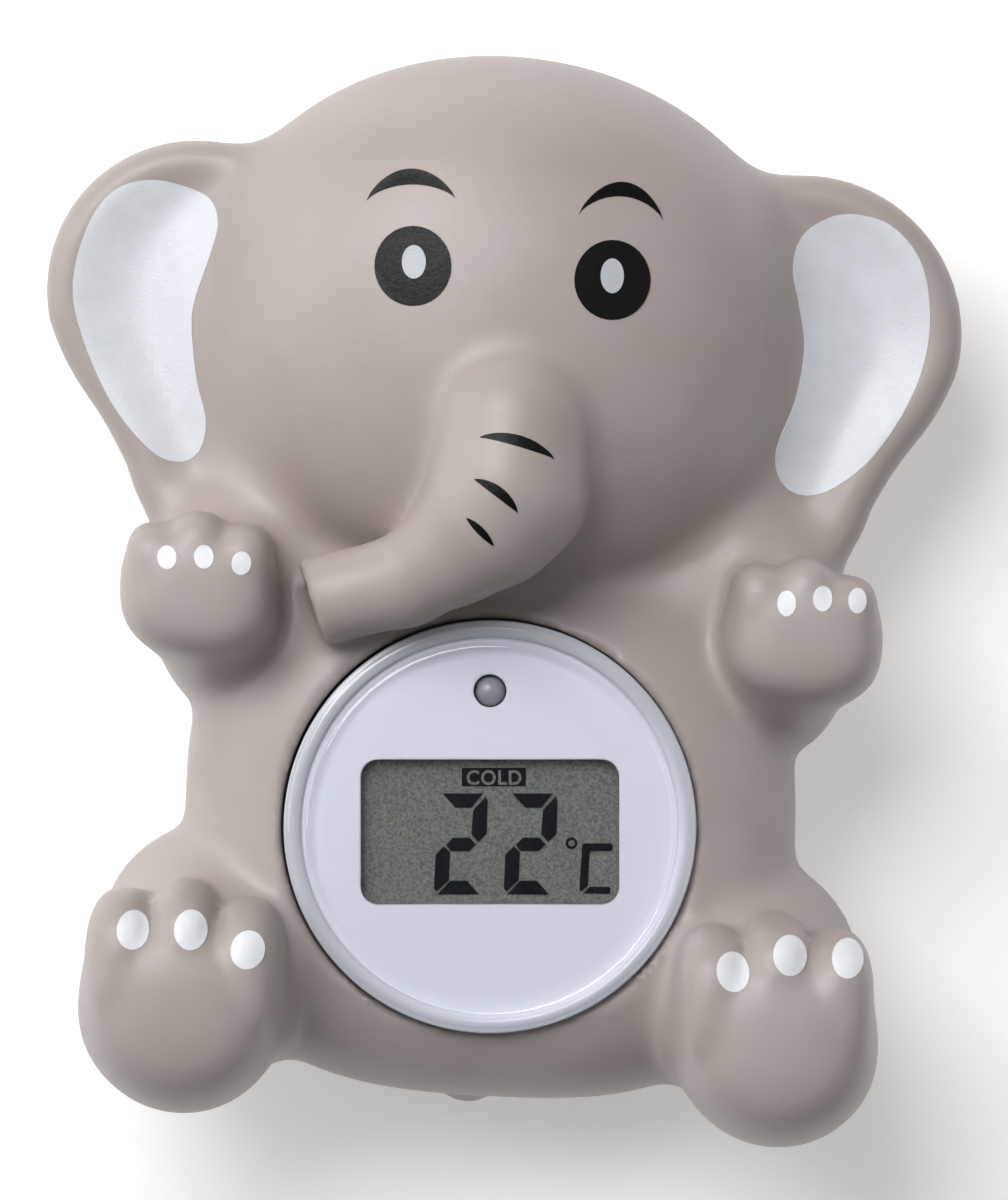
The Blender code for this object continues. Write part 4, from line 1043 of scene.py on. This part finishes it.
class BATH_OT_painted_marks(bpy.types.Operator):
    """Paints the ears, nails, eyes, brows and trunk wrinkles on the skin"""

    bl_idname = "bath.painted_marks"
    bl_label = "Painted marks"

    def execute(self, context):
        sizes = context.scene.bath_sizes
        colours = context.scene.bath_colours
        mesh = bpy.data.objects["elephant_skin"].data
        corners = [vertex.co.copy() for vertex in mesh.vertices]
        skin = BVHTree.FromPolygons(corners, [tuple(face.vertices) for face in mesh.polygons])
        white = sprayed_paint("white_sprayed_paint", colours.ears, (0.30, 0.42))
        # The nail paint is a lighter copy of the white paint: painted highlight
        nail = sprayed_paint("white_sprayed_nail_paint", colours.nails, (0.30, 0.42))
        black = sprayed_paint("black_pad_printed_ink", colours.ink, (0.34, 0.50), 0.22)
        glint = sprayed_paint("white_pad_printed_ink", linear("C2C7CC"), (0.40, 0.50), 0.3)
        marks = {
            "ear_paint": ([curved(LEFT_EAR), curved(RIGHT_EAR)], 5.5, white, 1),
            "nail_paint": ([oval(*place) for place in NAILS], 3.5, nail, 1),
            "eye_paint": ([oval(*eye) for eye in EYES], 5.0, black, 1),
            "eye_glints": ([oval(*place) for place in EYE_GLINTS], 3.5, glint, 2),
            "brow_paint": ([crescent(*brow) for brow in BROWS], 3.5, black, 1),
            "wrinkle_paint": ([crescent(*wrinkle) for wrinkle in WRINKLES], 2.5, black, 1),
        }
        for name, (outlines, spacing, paint, layer) in marks.items():
            shape = bmesh.new()
            for outline in outlines:
                raised = layer * sizes.paint_height
                painted(shape, skin, outline, spacing, raised, sizes.paint_depth)
            settle(finished(name, shape, paint), "soft_grey_vinyl")
        return {"FINISHED"}


def sprayed_paint(name, paint, roughness, gloss=0.5):
    """Vinyl paint laid on through a mask: an even coat with a fine pebble and a soft shine."""
    return surface(
        name, toned(paint, "F8F8F8"), list(paint), (3.0, 2.0), (0.30, 3.0), 0.04, roughness,
        **{"Specular IOR Level": gloss},
    )


class BATH_OT_clear_cover(bpy.types.Operator):
    """Turns the clear cover with its raised lens and rounded rim"""

    bl_idname = "bath.clear_cover"
    bl_label = "Clear cover"

    def execute(self, context):
        steps = context.scene.bath_sizes.turned_steps
        lens_top = COVER_HIGH.z
        rim_top = lens_top - LENS_RISE
        lens = RIM_RADIUS - RIM_WIDTH
        inside_wall = lens - COVER_WALL
        ceiling = lens_top - LENS_DEPTH
        crown_width = RIM_RADIUS - RIM_ROUND - lens - RIM_GROOVE
        crown = [
            (lens + RIM_GROOVE + crown_width * share, rim_top + RIM_CROWN * 4 * share * (1 - share))
            for share in (n / 8 for n in range(1, 8))
        ]
        profile = [
            (0.0, lens_top),
            (lens / 2, lens_top),
            *arc((lens - LENS_ROUND, lens_top - LENS_ROUND), LENS_ROUND, 90, 0, 8),
            (lens, rim_top - RIM_GROOVE),
            (lens + RIM_GROOVE / 2, rim_top - RIM_GROOVE),
            (lens + RIM_GROOVE, rim_top),
            *crown,
            *arc((RIM_RADIUS - RIM_ROUND, rim_top - RIM_ROUND), RIM_ROUND, 90, 0, 8),
            (RIM_RADIUS, COVER_LOW.z),
            (inside_wall, COVER_LOW.z),
            *arc((inside_wall - PLAY, ceiling - PLAY), PLAY, 0, 90, 4),
            (0.0, ceiling),
        ]
        cover = turned("lens_cover", profile, steps, clear_polycarbonate())
        # The rim's faces take a light grey finish that is mostly not see-through: painted reflection
        # of what the clear rim shows and mirrors
        cover.data.materials.append(rim_with_painted_reflection())
        for face in cover.data.polygons:
            away = (face.center - CAPSULE).to_2d().length
            face.material_index = int(away > lens and face.center.z < rim_top + 2 * RIM_CROWN)
        low, high = SEAL_LOW.z, SEAL_HIGH.z
        outside = (SEAL_HIGH.x - SEAL_LOW.x) / 2
        bevel = SEAL_WIDTH / 4
        inner = outside - SEAL_WIDTH
        section = [
            (outside - bevel, high), (outside, high - bevel),
            (outside, low + bevel), (outside - bevel, low),
            (inner + bevel, low), (inner, low + bevel),
            (inner, high - bevel), (inner + bevel, high),
        ]
        silicone = pale_silicone("moulded_silicone_cover_seal")
        seal = turned("cover_seal", section, steps, silicone, closed=True)
        settle(cover, "clear_plastic", "clear_cover")
        settle(seal, "seal_silicone", "housing_seal")
        return {"FINISHED"}


def rim_with_painted_reflection():
    """The rim, which is moulded clear, drawn as a silvery light grey band that lets little light
    through: painted reflection, standing in for the white flange seen through the rim and the shine
    on it.
    """
    tint = linear("DFE1E9")
    return surface(
        "satin_moulded_polycarbonate", tint, tint, (), (0.8, 3.0), 0.0, (0.04, 0.09),
        **{"IOR": 1.585, "Transmission Weight": 0.30},
    )


def pale_silicone(name):
    """Moulded silicone rubber: milky, matt and a little soft at its edges."""
    return two_tone(name, "C9CCD2", "D4D7DC", 3.0, 0.20, 0.006, (0.55, 0.68))


def clear_polycarbonate():
    """Injection moulded polycarbonate: water clear and glossy, with a bright moulded edge."""
    tint = linear("FBFCFF")
    found = surface(
        "clear_moulded_polycarbonate", tint, tint, (), (4.0, 3.0), 0.0, (0.01, 0.04),
        **{"IOR": 1.585, "Transmission Weight": 1.0},
    )
    tree = found.node_tree
    end = next(node for node in tree.nodes if node.bl_idname == "ShaderNodeOutputMaterial")
    shader = end.inputs["Surface"].links[0].from_socket
    clear = add(tree, "ShaderNodeBsdfTransparent", {"Color": shade("F4F6FA")})
    shadow = add(tree, "ShaderNodeLightPath").outputs["Is Shadow Ray"]
    mixed = add(tree, "ShaderNodeMixShader", (shadow, shader, clear.outputs[0]))
    tree.links.new(mixed.outputs[0], end.inputs["Surface"])
    return found


class BATH_OT_dial_plate(bpy.types.Operator):
    """Makes the printed plate with its bevelled window and lamp hole"""

    bl_idname = "bath.dial_plate"
    bl_label = "Dial plate"

    def execute(self, context):
        steps = context.scene.bath_sizes.turned_steps
        # Moulded ABS under a clear lens: smooth, cool white, with a low shine
        plain = list(context.scene.bath_colours.plate)
        white = surface(
            "white_moulded_abs_plate", plain, plain, (), (0.25, 3.0), 0.004, (0.30, 0.38), IOR=1.54,
        )
        low, high = DIAL_LOW.z, DIAL_HIGH.z
        radius = (DIAL_HIGH.x - DIAL_LOW.x) / 2
        edge = 0.08 * MM
        profile = [
            (0.0, high), (radius - edge, high), (radius, high - edge), (radius, low), (0.0, low),
        ]
        plate = turned("printed_plate", profile, steps, white)
        half_x, half_y, corner = WINDOW_WIDTH / 2, WINDOW_HEIGHT / 2, WINDOW_CORNER
        for grow, bottom, top in ((0.0, low - PLAY, high + PLAY), (edge, high - edge, high + PLAY)):
            outline = []
            for sx, sy, start in ((1, 1, 0), (-1, 1, 90), (-1, -1, 180), (1, -1, 270)):
                centre = (sx * (half_x - corner), sy * (half_y - corner) - LCD_DROP)
                outline += list(arc(centre, corner + grow, start, start + 90, 10))
            cutter = bmesh.new()
            prism(cutter, outline, bottom, top)
            cut_away(plate, cutter)
            cutter = bmesh.new()
            hole = LED_RADIUS + LED_CLEARANCE + grow
            lathe(cutter, [(0, top), (hole, top), (hole, bottom), (0, bottom)], 48, (0.0, LED_Y))
            cut_away(plate, cutter)
        settle(plate, "white_printed_plastic", "dial_plate")
        return {"FINISHED"}


class BATH_OT_display(bpy.types.Operator):
    """Lays the dark figures on the display and finishes its glass"""

    bl_idname = "bath.display"
    bl_label = "Display"

    def execute(self, context):
        height = context.scene.bath_sizes.figure_height
        glass = display_glass(list(context.scene.bath_colours.display))
        coat("lcd_panel", glass)
        # Liquid crystal turned on: near black, without a shine of its own
        dark = two_tone(
            "liquid_crystal_segment", "0B0C0F", "101114", 1.0, 0.2, 0.002, (0.50, 0.65),
            **{"Specular IOR Level": 0.1},
        )
        low = LCD_TOP + 0.02 * MM
        high = low + height
        shape = bmesh.new()
        for column in range(2):
            for segment in FIGURE_TWO:
                points = [((x + column * FIGURE_STEP) * MM, y * MM) for x, y in segment]
                prism(shape, points, low, high)
        for stroke in FIGURE_C:
            prism(shape, [(x * MM, y * MM) for x, y in stroke], low, high)
        prism(shape, [(x * MM, y * MM) for x, y in FLAG], low, high)
        outer, inner = (radius * MM for radius in DEGREE_RADII)
        section = [(outer, low), (outer, high), (inner, high), (inner, low)]
        lathe(shape, section, 32, [part * MM for part in DEGREE_PLACE], closed=True)
        figures = finished("display_figures", shape, dark)
        word = flag_word(high - height / 2, high + height / 2, glass)
        settle(figures, "display_glass")
        settle(word, "display_glass")
        return {"FINISHED"}


def flag_word(low, high, glass):
    """The word left clear in the dark flag over the figures."""
    text = bpy.data.curves.new("flag_word", "FONT")
    text.body = FLAG_WORD
    text.extrude = 0.5
    text.offset = 0.022
    text.space_character = 1.12
    maker = link(bpy.data.objects.new("flag_word_maker", text))
    mesh = evaluated(maker)
    bpy.data.objects.remove(maker)
    shape = bmesh.new()
    shape.from_mesh(mesh)
    bpy.data.meshes.remove(mesh)
    (left, bottom), (right, top) = FLAG_WORD_BOX
    xs = [vertex.co.x for vertex in shape.verts]
    ys = [vertex.co.y for vertex in shape.verts]
    for vertex in shape.verts:
        x = left + (right - left) * (vertex.co.x - min(xs)) / (max(xs) - min(xs))
        y = bottom + (top - bottom) * (vertex.co.y - min(ys)) / (max(ys) - min(ys))
        vertex.co = seat(x * MM, y * MM, high if vertex.co.z > 0 else low)
    return finished("flag_word", shape, glass)


def display_glass(tint):
    """Reflective twisted nematic glass: a sparkling grey green under a glossy front."""
    duller = [0.93 * share for share in tint]
    found = surface(
        "reflective_display_glass", tint, duller, (5.0, 1.0), (0.24, 1.0), 0.0, (0.45, 0.65),
        **{"Specular IOR Level": 0.2},
    )
    tree = found.node_tree
    shader = next(node for node in tree.nodes if node.bl_idname == "ShaderNodeBsdfPrincipled")
    base = shader.inputs["Base Color"]
    sparkle = tinted(tree, grained(tree, 0.24, 1.0), linear("B4B8B4"), linear("FFFFFF"))
    inputs = {0: 1.0, 6: base.links[0].from_socket, 7: sparkle}
    product = add(tree, "ShaderNodeMix", inputs, data_type="RGBA", blend_type="MULTIPLY")
    tree.links.new(product.outputs[2], base)
    return found


def coat(name, material):
    """Gives a CAD node its finish."""
    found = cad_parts[name]
    for slot in found.material_slots:
        slot.material = material
    return found


class BATH_OT_indicator(bpy.types.Operator):
    """Turns the smoky indicator lamp with its domed top"""

    bl_idname = "bath.indicator"
    bl_label = "Indicator lamp"

    def execute(self, context):
        low, high = LED_LOW.z, LED_HIGH.z
        flange = LED_RADIUS + LED_FLANGE
        step = low + SCREW_HEAD_DEPTH
        dome = [(max(r, 0.0), z) for r, z in arc((0.0, high - LED_RADIUS), LED_RADIUS, 90, 0, 16)]
        profile = [*dome, (LED_RADIUS, step), (flange, step), (flange, low), (0.0, low)]
        # Cast epoxy: smoky grey, its dome catching one soft light
        smoky = two_tone(
            "smoky_cast_epoxy", "807E83", "89878C", 1.5, 0.3, 0.002, (0.16, 0.26),
            **{"IOR": 1.54, "Coat Weight": 0.4, "Coat Roughness": 0.08},
        )
        lamp = turned("indicator_lamp", profile, 64, smoky, (0.0, LED_Y))
        settle(lamp, "smoky_resin", "indicator_led")
        return {"FINISHED"}


def screw_places():
    for n in range(SCREW_COUNT):
        turn = SCREW_START + 2 * math.pi * n / SCREW_COUNT
        yield SCREW_CIRCLE * math.cos(turn), SCREW_CIRCLE * math.sin(turn)


class BATH_OT_battery_end(bpy.types.Operator):
    """Makes the battery door with its sunk screws"""

    bl_idname = "bath.battery_end"
    bl_label = "Battery end"

    def execute(self, context):
        steps = context.scene.bath_sizes.turned_steps
        # Moulded ABS: satin white with a fine grain that hides scratches
        white = two_tone(
            "white_moulded_abs_door", "E3E4E4", "E9EAEA", 8.0, 0.22, 0.006, (0.42, 0.54), IOR=1.54,
        )
        low, high = DOOR_LOW.z, DOOR_HIGH.z
        edge = 0.25 * MM
        profile = [
            (0.0, high),
            (DOOR_RADIUS, high),
            *arc((DOOR_RADIUS - edge, low + edge), edge, 0, -90, 5),
            (0.0, low),
        ]
        door = turned("screwed_door", profile, steps, white)
        cutter = bmesh.new()
        for x, y in screw_places():
            sunk = low + SCREW_HEAD_DEPTH + PLAY
            sink = SCREW_HEAD_RADIUS + PLAY / 2
            hole = SCREW_RADIUS + PLAY
            end = high + PLAY
            steps_down = [(0, end), (hole, end), (hole, sunk), (sink, sunk), (sink, 0), (0, 0)]
            lathe(cutter, steps_down, SMALL_STEPS, (x, y))
        notch = SENSOR_RADIUS + PLAY
        notch_profile = [(0, high + PLAY), (notch, high + PLAY), (notch, 0), (0, 0)]
        lathe(cutter, notch_profile, SMALL_STEPS, (0.0, SENSOR_CIRCLE))
        cut_away(door, cutter)
        settle(door, "white_plastic", "battery_door")

        # Machined stainless steel: bright grey, blurred by the turning
        steel = two_tone(
            "machined_stainless_steel", "A8A8AA", "B4B4B6", 1.5, 0.10, 0.002, (0.22, 0.36),
            Metallic=1.0,
        )
        screw = screw_mesh(steel)
        tree, keys = screw_tree(screw, steel)
        heads = from_tree("door_screws", tree, keys, radius=SCREW_CIRCLE, count=SCREW_COUNT)
        bpy.data.objects.remove(screw)
        settle(heads, "screw_steel", *(f"door_screw_{n + 1}" for n in range(SCREW_COUNT)))
        return {"FINISHED"}


def screw_mesh(steel):
    """One screw with a crossed drive, its head's middle at the origin and its point upwards."""
    low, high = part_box("door_screw_1")
    end = high[2] - low[2]
    rounding = 0.2 * MM
    profile = [
        (0.0, 0.0),
        (SCREW_HEAD_RADIUS - rounding, 0.0),
        *arc((SCREW_HEAD_RADIUS - rounding, rounding), rounding, -90, 0, 4),
        (SCREW_HEAD_RADIUS, SCREW_HEAD_DEPTH),
        (SCREW_RADIUS, SCREW_HEAD_DEPTH),
        (SCREW_RADIUS, end - SCREW_RADIUS),
        (SCREW_RADIUS / 2, end),
        (0.0, end),
    ]
    screw = turned("one_screw", profile, SMALL_STEPS, steel)
    reach, half, depth = 0.75 * MM, 0.16 * MM, 0.35 * MM
    for across in (False, True):
        outline = [(-reach, -half), (reach, -half), (reach, half), (-reach, half)]
        if across:
            outline = [(-y, x) for x, y in outline]
        cutter = bmesh.new()
        prism(cutter, outline, -depth, depth)
        cut_away(screw, cutter)
    screw.data.transform(Matrix.Translation(-seat(0.0, 0.0)))
    return screw


def screw_tree(screw, steel):
    """Screws set evenly round the capsule's circle."""
    tree, keys, sizes = new_tree("screw_circle", radius="Float", count="Int")
    inputs = {"Vertices": sizes["count"], "Radius": sizes["radius"]}
    circle = add(tree, "GeometryNodeMeshCircle", inputs)
    inputs = {
        "Geometry": circle.outputs[0],
        "Rotation": (0.0, 0.0, SCREW_START + CAPSULE_TURN),
        "Translation": (CAPSULE.x, CAPSULE.y, DOOR_LOW.z),
    }
    placed_circle = add(tree, "GeometryNodeTransform", inputs)
    one = add(tree, "GeometryNodeObjectInfo", {"Object": screw, "As Instance": True})
    inputs = {"Min": (0.0, 0.0, 0.0), "Max": (0.0, 0.0, math.pi / 2), "Seed": 7}
    spin = add(tree, "FunctionNodeRandomValue", inputs, data_type="FLOAT_VECTOR")
    inputs = {
        "Points": placed_circle.outputs[0],
        "Instance": one.outputs["Geometry"],
        "Rotation": spin.outputs[0],
    }
    placed = add(tree, "GeometryNodeInstanceOnPoints", inputs)
    end_tree(tree, placed.outputs[0], steel)
    return tree, keys


class BATH_OT_inside_finish(bpy.types.Operator):
    """Finishes the pieces of the capsule that keep their own shapes"""

    bl_idname = "bath.inside_finish"
    bl_label = "Inside of the capsule"

    def execute(self, context):
        metal = {"Metallic": 1.0}
        finishes = (
            # satin white, a fine grain
            ("rear_housing lcd_carrier", "white_moulded_abs", "E0E1E1", "E8E9E9",
             8.0, 0.22, 0.006, (0.40, 0.52), {"IOR": 1.54}),
            # dull grey with soft streaks of light
            ("board_screw_1 board_screw_2 board_screw_3", "turned_screw_steel", "9C9C9E", "AAAAAC",
             1.5, 0.10, 0.002, (0.24, 0.38), metal),
            # bright and smooth, a little blurred
            ("sensor_cap coin_cell", "drawn_stainless_steel", "B0B0B2", "BCBCBE",
             2.0, 0.12, 0.002, (0.18, 0.30), metal),
            # bright with a warm cast
            ("cell_contact_positive cell_contact_negative", "nickel_plated_spring_steel",
             "B8B2A4", "C4BEB0", 2.0, 0.15, 0.002, (0.20, 0.34), metal),
            # black and glossy, a little lumpy
            ("chip_blob", "black_glob_epoxy", "0E0E0E", "161616", 3.0, 0.50, 0.010, (0.22, 0.36), {}),
            # deep green, waxy over the weave
            ("circuit_board", "solder_masked_glass_epoxy", "0E4A22", "145A2C",
             4.0, 0.40, 0.010, (0.34, 0.48), {}),
            # dark brown and glassy
            ("thermistor", "glass_bead", "2A211A", "352A20", 0.8, 0.20, 0.002, (0.10, 0.22), {}),
        )
        for names, *values, sockets in finishes:
            material = two_tone(*values, **sockets)
            for name in names.split():
                coat(name, material)
        coat("door_seal", pale_silicone("moulded_silicone_door_seal"))
        coat("contact_strip", zebra_rubber())
        return {"FINISHED"}


def zebra_rubber():
    """Silicone rubber in thin conducting and insulating layers: a pink and black stripe.

    The real layers are about 0.1 mm; they are drawn as broad bands, so that they show.
    """
    found = bpy.data.materials.new("layered_silicone_rubber")
    found.use_nodes = True
    tree = found.node_tree
    tree.nodes.clear()
    place = add(tree, "ShaderNodeTexCoord").outputs["Object"]
    scale = 2 * math.pi / (20 * STRIPE_PITCH)
    inputs = {"Vector": place, "Scale": scale, "Distortion": 0.2, "Detail": 1.0}
    stripes = add(tree, "ShaderNodeTexWave", inputs, bands_direction="X").outputs["Fac"]
    colours = tinted(tree, stripes, linear("1A1414"), linear("C08A8A"))
    grain = grained(tree, 0.3)
    inputs = {"Value": grain, "From Min": 0.3, "From Max": 0.7, "To Min": 0.6, "To Max": 0.75}
    rough = add(tree, "ShaderNodeMapRange", inputs).outputs["Result"]
    shader = add(tree, "ShaderNodeBsdfPrincipled", {"Base Color": colours, "Roughness": rough})
    add(tree, "ShaderNodeOutputMaterial", {"Surface": shader.outputs[0]})
    return found


class BATH_OT_stage(bpy.types.Operator):
    """Sets the pale floor, the soft lamps and the camera"""

    bl_idname = "bath.stage"
    bl_label = "Stage"

    def execute(self, context):
        scene = context.scene
        light = scene.bath_light
        shape = bmesh.new()
        bmesh.ops.create_grid(shape, x_segments=1, y_segments=1, size=1.5)
        mesh = bpy.data.meshes.new("floor")
        shape.to_mesh(mesh)
        shape.free()
        floor = link(bpy.data.objects.new("floor", mesh))
        floor.location.z = -FLOOR_DROP
        # Opal acrylic lit from below: white without a shine, its shadows soft and pale
        plain = list(scene.bath_colours.floor)
        mesh.materials.append(surface(
            "matt_opal_acrylic_floor", plain, plain, (), (1.0, 3.0), 0.002, (0.7, 0.8),
            **{"Emission Color": (*plain, 1.0), "Emission Strength": FLOOR_GLOW},
        ))

        camera = bpy.data.cameras.new("camera")
        camera.sensor_fit = "HORIZONTAL"
        camera.sensor_width = SENSOR_WIDTH
        camera.lens = SENSOR_WIDTH * CAMERA_DISTANCE / (PHOTO_SIZE[0] * METRES_A_PIXEL)
        camera.clip_start = 0.01
        seen = link(bpy.data.objects.new("camera", camera))
        seen.matrix_world = Matrix.Translation(camera_place()) @ photo_turn().to_4x4()
        scene.camera = seen

        for name, watts, place in (
            ("key_lamp", light.key_power, KEY_PLACE),
            ("side_lamp", light.side_power, SIDE_PLACE),
            ("fill_lamp", light.fill_power, FILL_PLACE),
        ):
            lamp = bpy.data.lights.new(name, "AREA")
            lamp.energy = watts
            lamp.size = light.lamp_width
            found = link(bpy.data.objects.new(name, lamp))
            found.location = place
            found.rotation_euler = (-place).to_track_quat("-Z", "Y").to_euler()

        world = bpy.data.worlds.new("pale_room")
        scene.world = world
        world.use_nodes = True
        tree = world.node_tree
        tree.nodes.clear()
        direction = add(tree, "ShaderNodeTexCoord").outputs["Generated"]
        height = add(tree, "ShaderNodeSeparateXYZ", (direction,)).outputs["Z"]
        ramp = add(tree, "ShaderNodeValToRGB", (height,))
        for element in ramp.color_ramp.elements:
            element.position = 1.0
        for position, code in ROOM:
            ramp.color_ramp.elements.new(position).color = shade(code)
        ramp.color_ramp.elements[-1].color = ramp.color_ramp.elements[-2].color = shade(ROOM[-1][1])
        sky = add(tree, "ShaderNodeBackground", (ramp.outputs["Color"], light.sky))
        add(tree, "ShaderNodeOutputWorld", (sky.outputs[0],))
        scene.view_settings.view_transform = "Standard"
        return {"FINISHED"}


class BATH_PT_thermometer(bpy.types.Panel):
    """Sizes, colours and steps of the bath thermometer"""

    bl_idname = "BATH_PT_thermometer"
    bl_label = "Bath thermometer"
    bl_space_type = "VIEW_3D"
    bl_region_type = "UI"
    bl_category = "Thermometer"

    def draw(self, context):
        for group in (context.scene.bath_sizes, context.scene.bath_colours, context.scene.bath_light):
            for name in group.bl_rna.properties.keys():
                if name not in ("rna_type", "name"):
                    self.layout.prop(group, name)
        for step in STEPS:
            self.layout.operator(step.bl_idname)


STEPS = (
    BATH_OT_stage,
    BATH_OT_elephant_body,
    BATH_OT_painted_marks,
    BATH_OT_clear_cover,
    BATH_OT_dial_plate,
    BATH_OT_display,
    BATH_OT_indicator,
    BATH_OT_battery_end,
    BATH_OT_inside_finish,
)
GROUPS = {"bath_sizes": BATH_Sizes, "bath_colours": BATH_Colours, "bath_light": BATH_Light}


def register():
    for kind in (*GROUPS.values(), *STEPS, BATH_PT_thermometer):
        bpy.utils.register_class(kind)
    for name, kind in GROUPS.items():
        setattr(bpy.types.Scene, name, PointerProperty(type=kind))


def unregister():
    for name in GROUPS:
        delattr(bpy.types.Scene, name)
    for kind in reversed((*GROUPS.values(), *STEPS, BATH_PT_thermometer)):
        bpy.utils.unregister_class(kind)


def main():
    register()
    for step in STEPS:
        family, name = step.bl_idname.split(".")
        getattr(getattr(bpy.ops, family), name)()


if __name__ == "__main__":
    main()
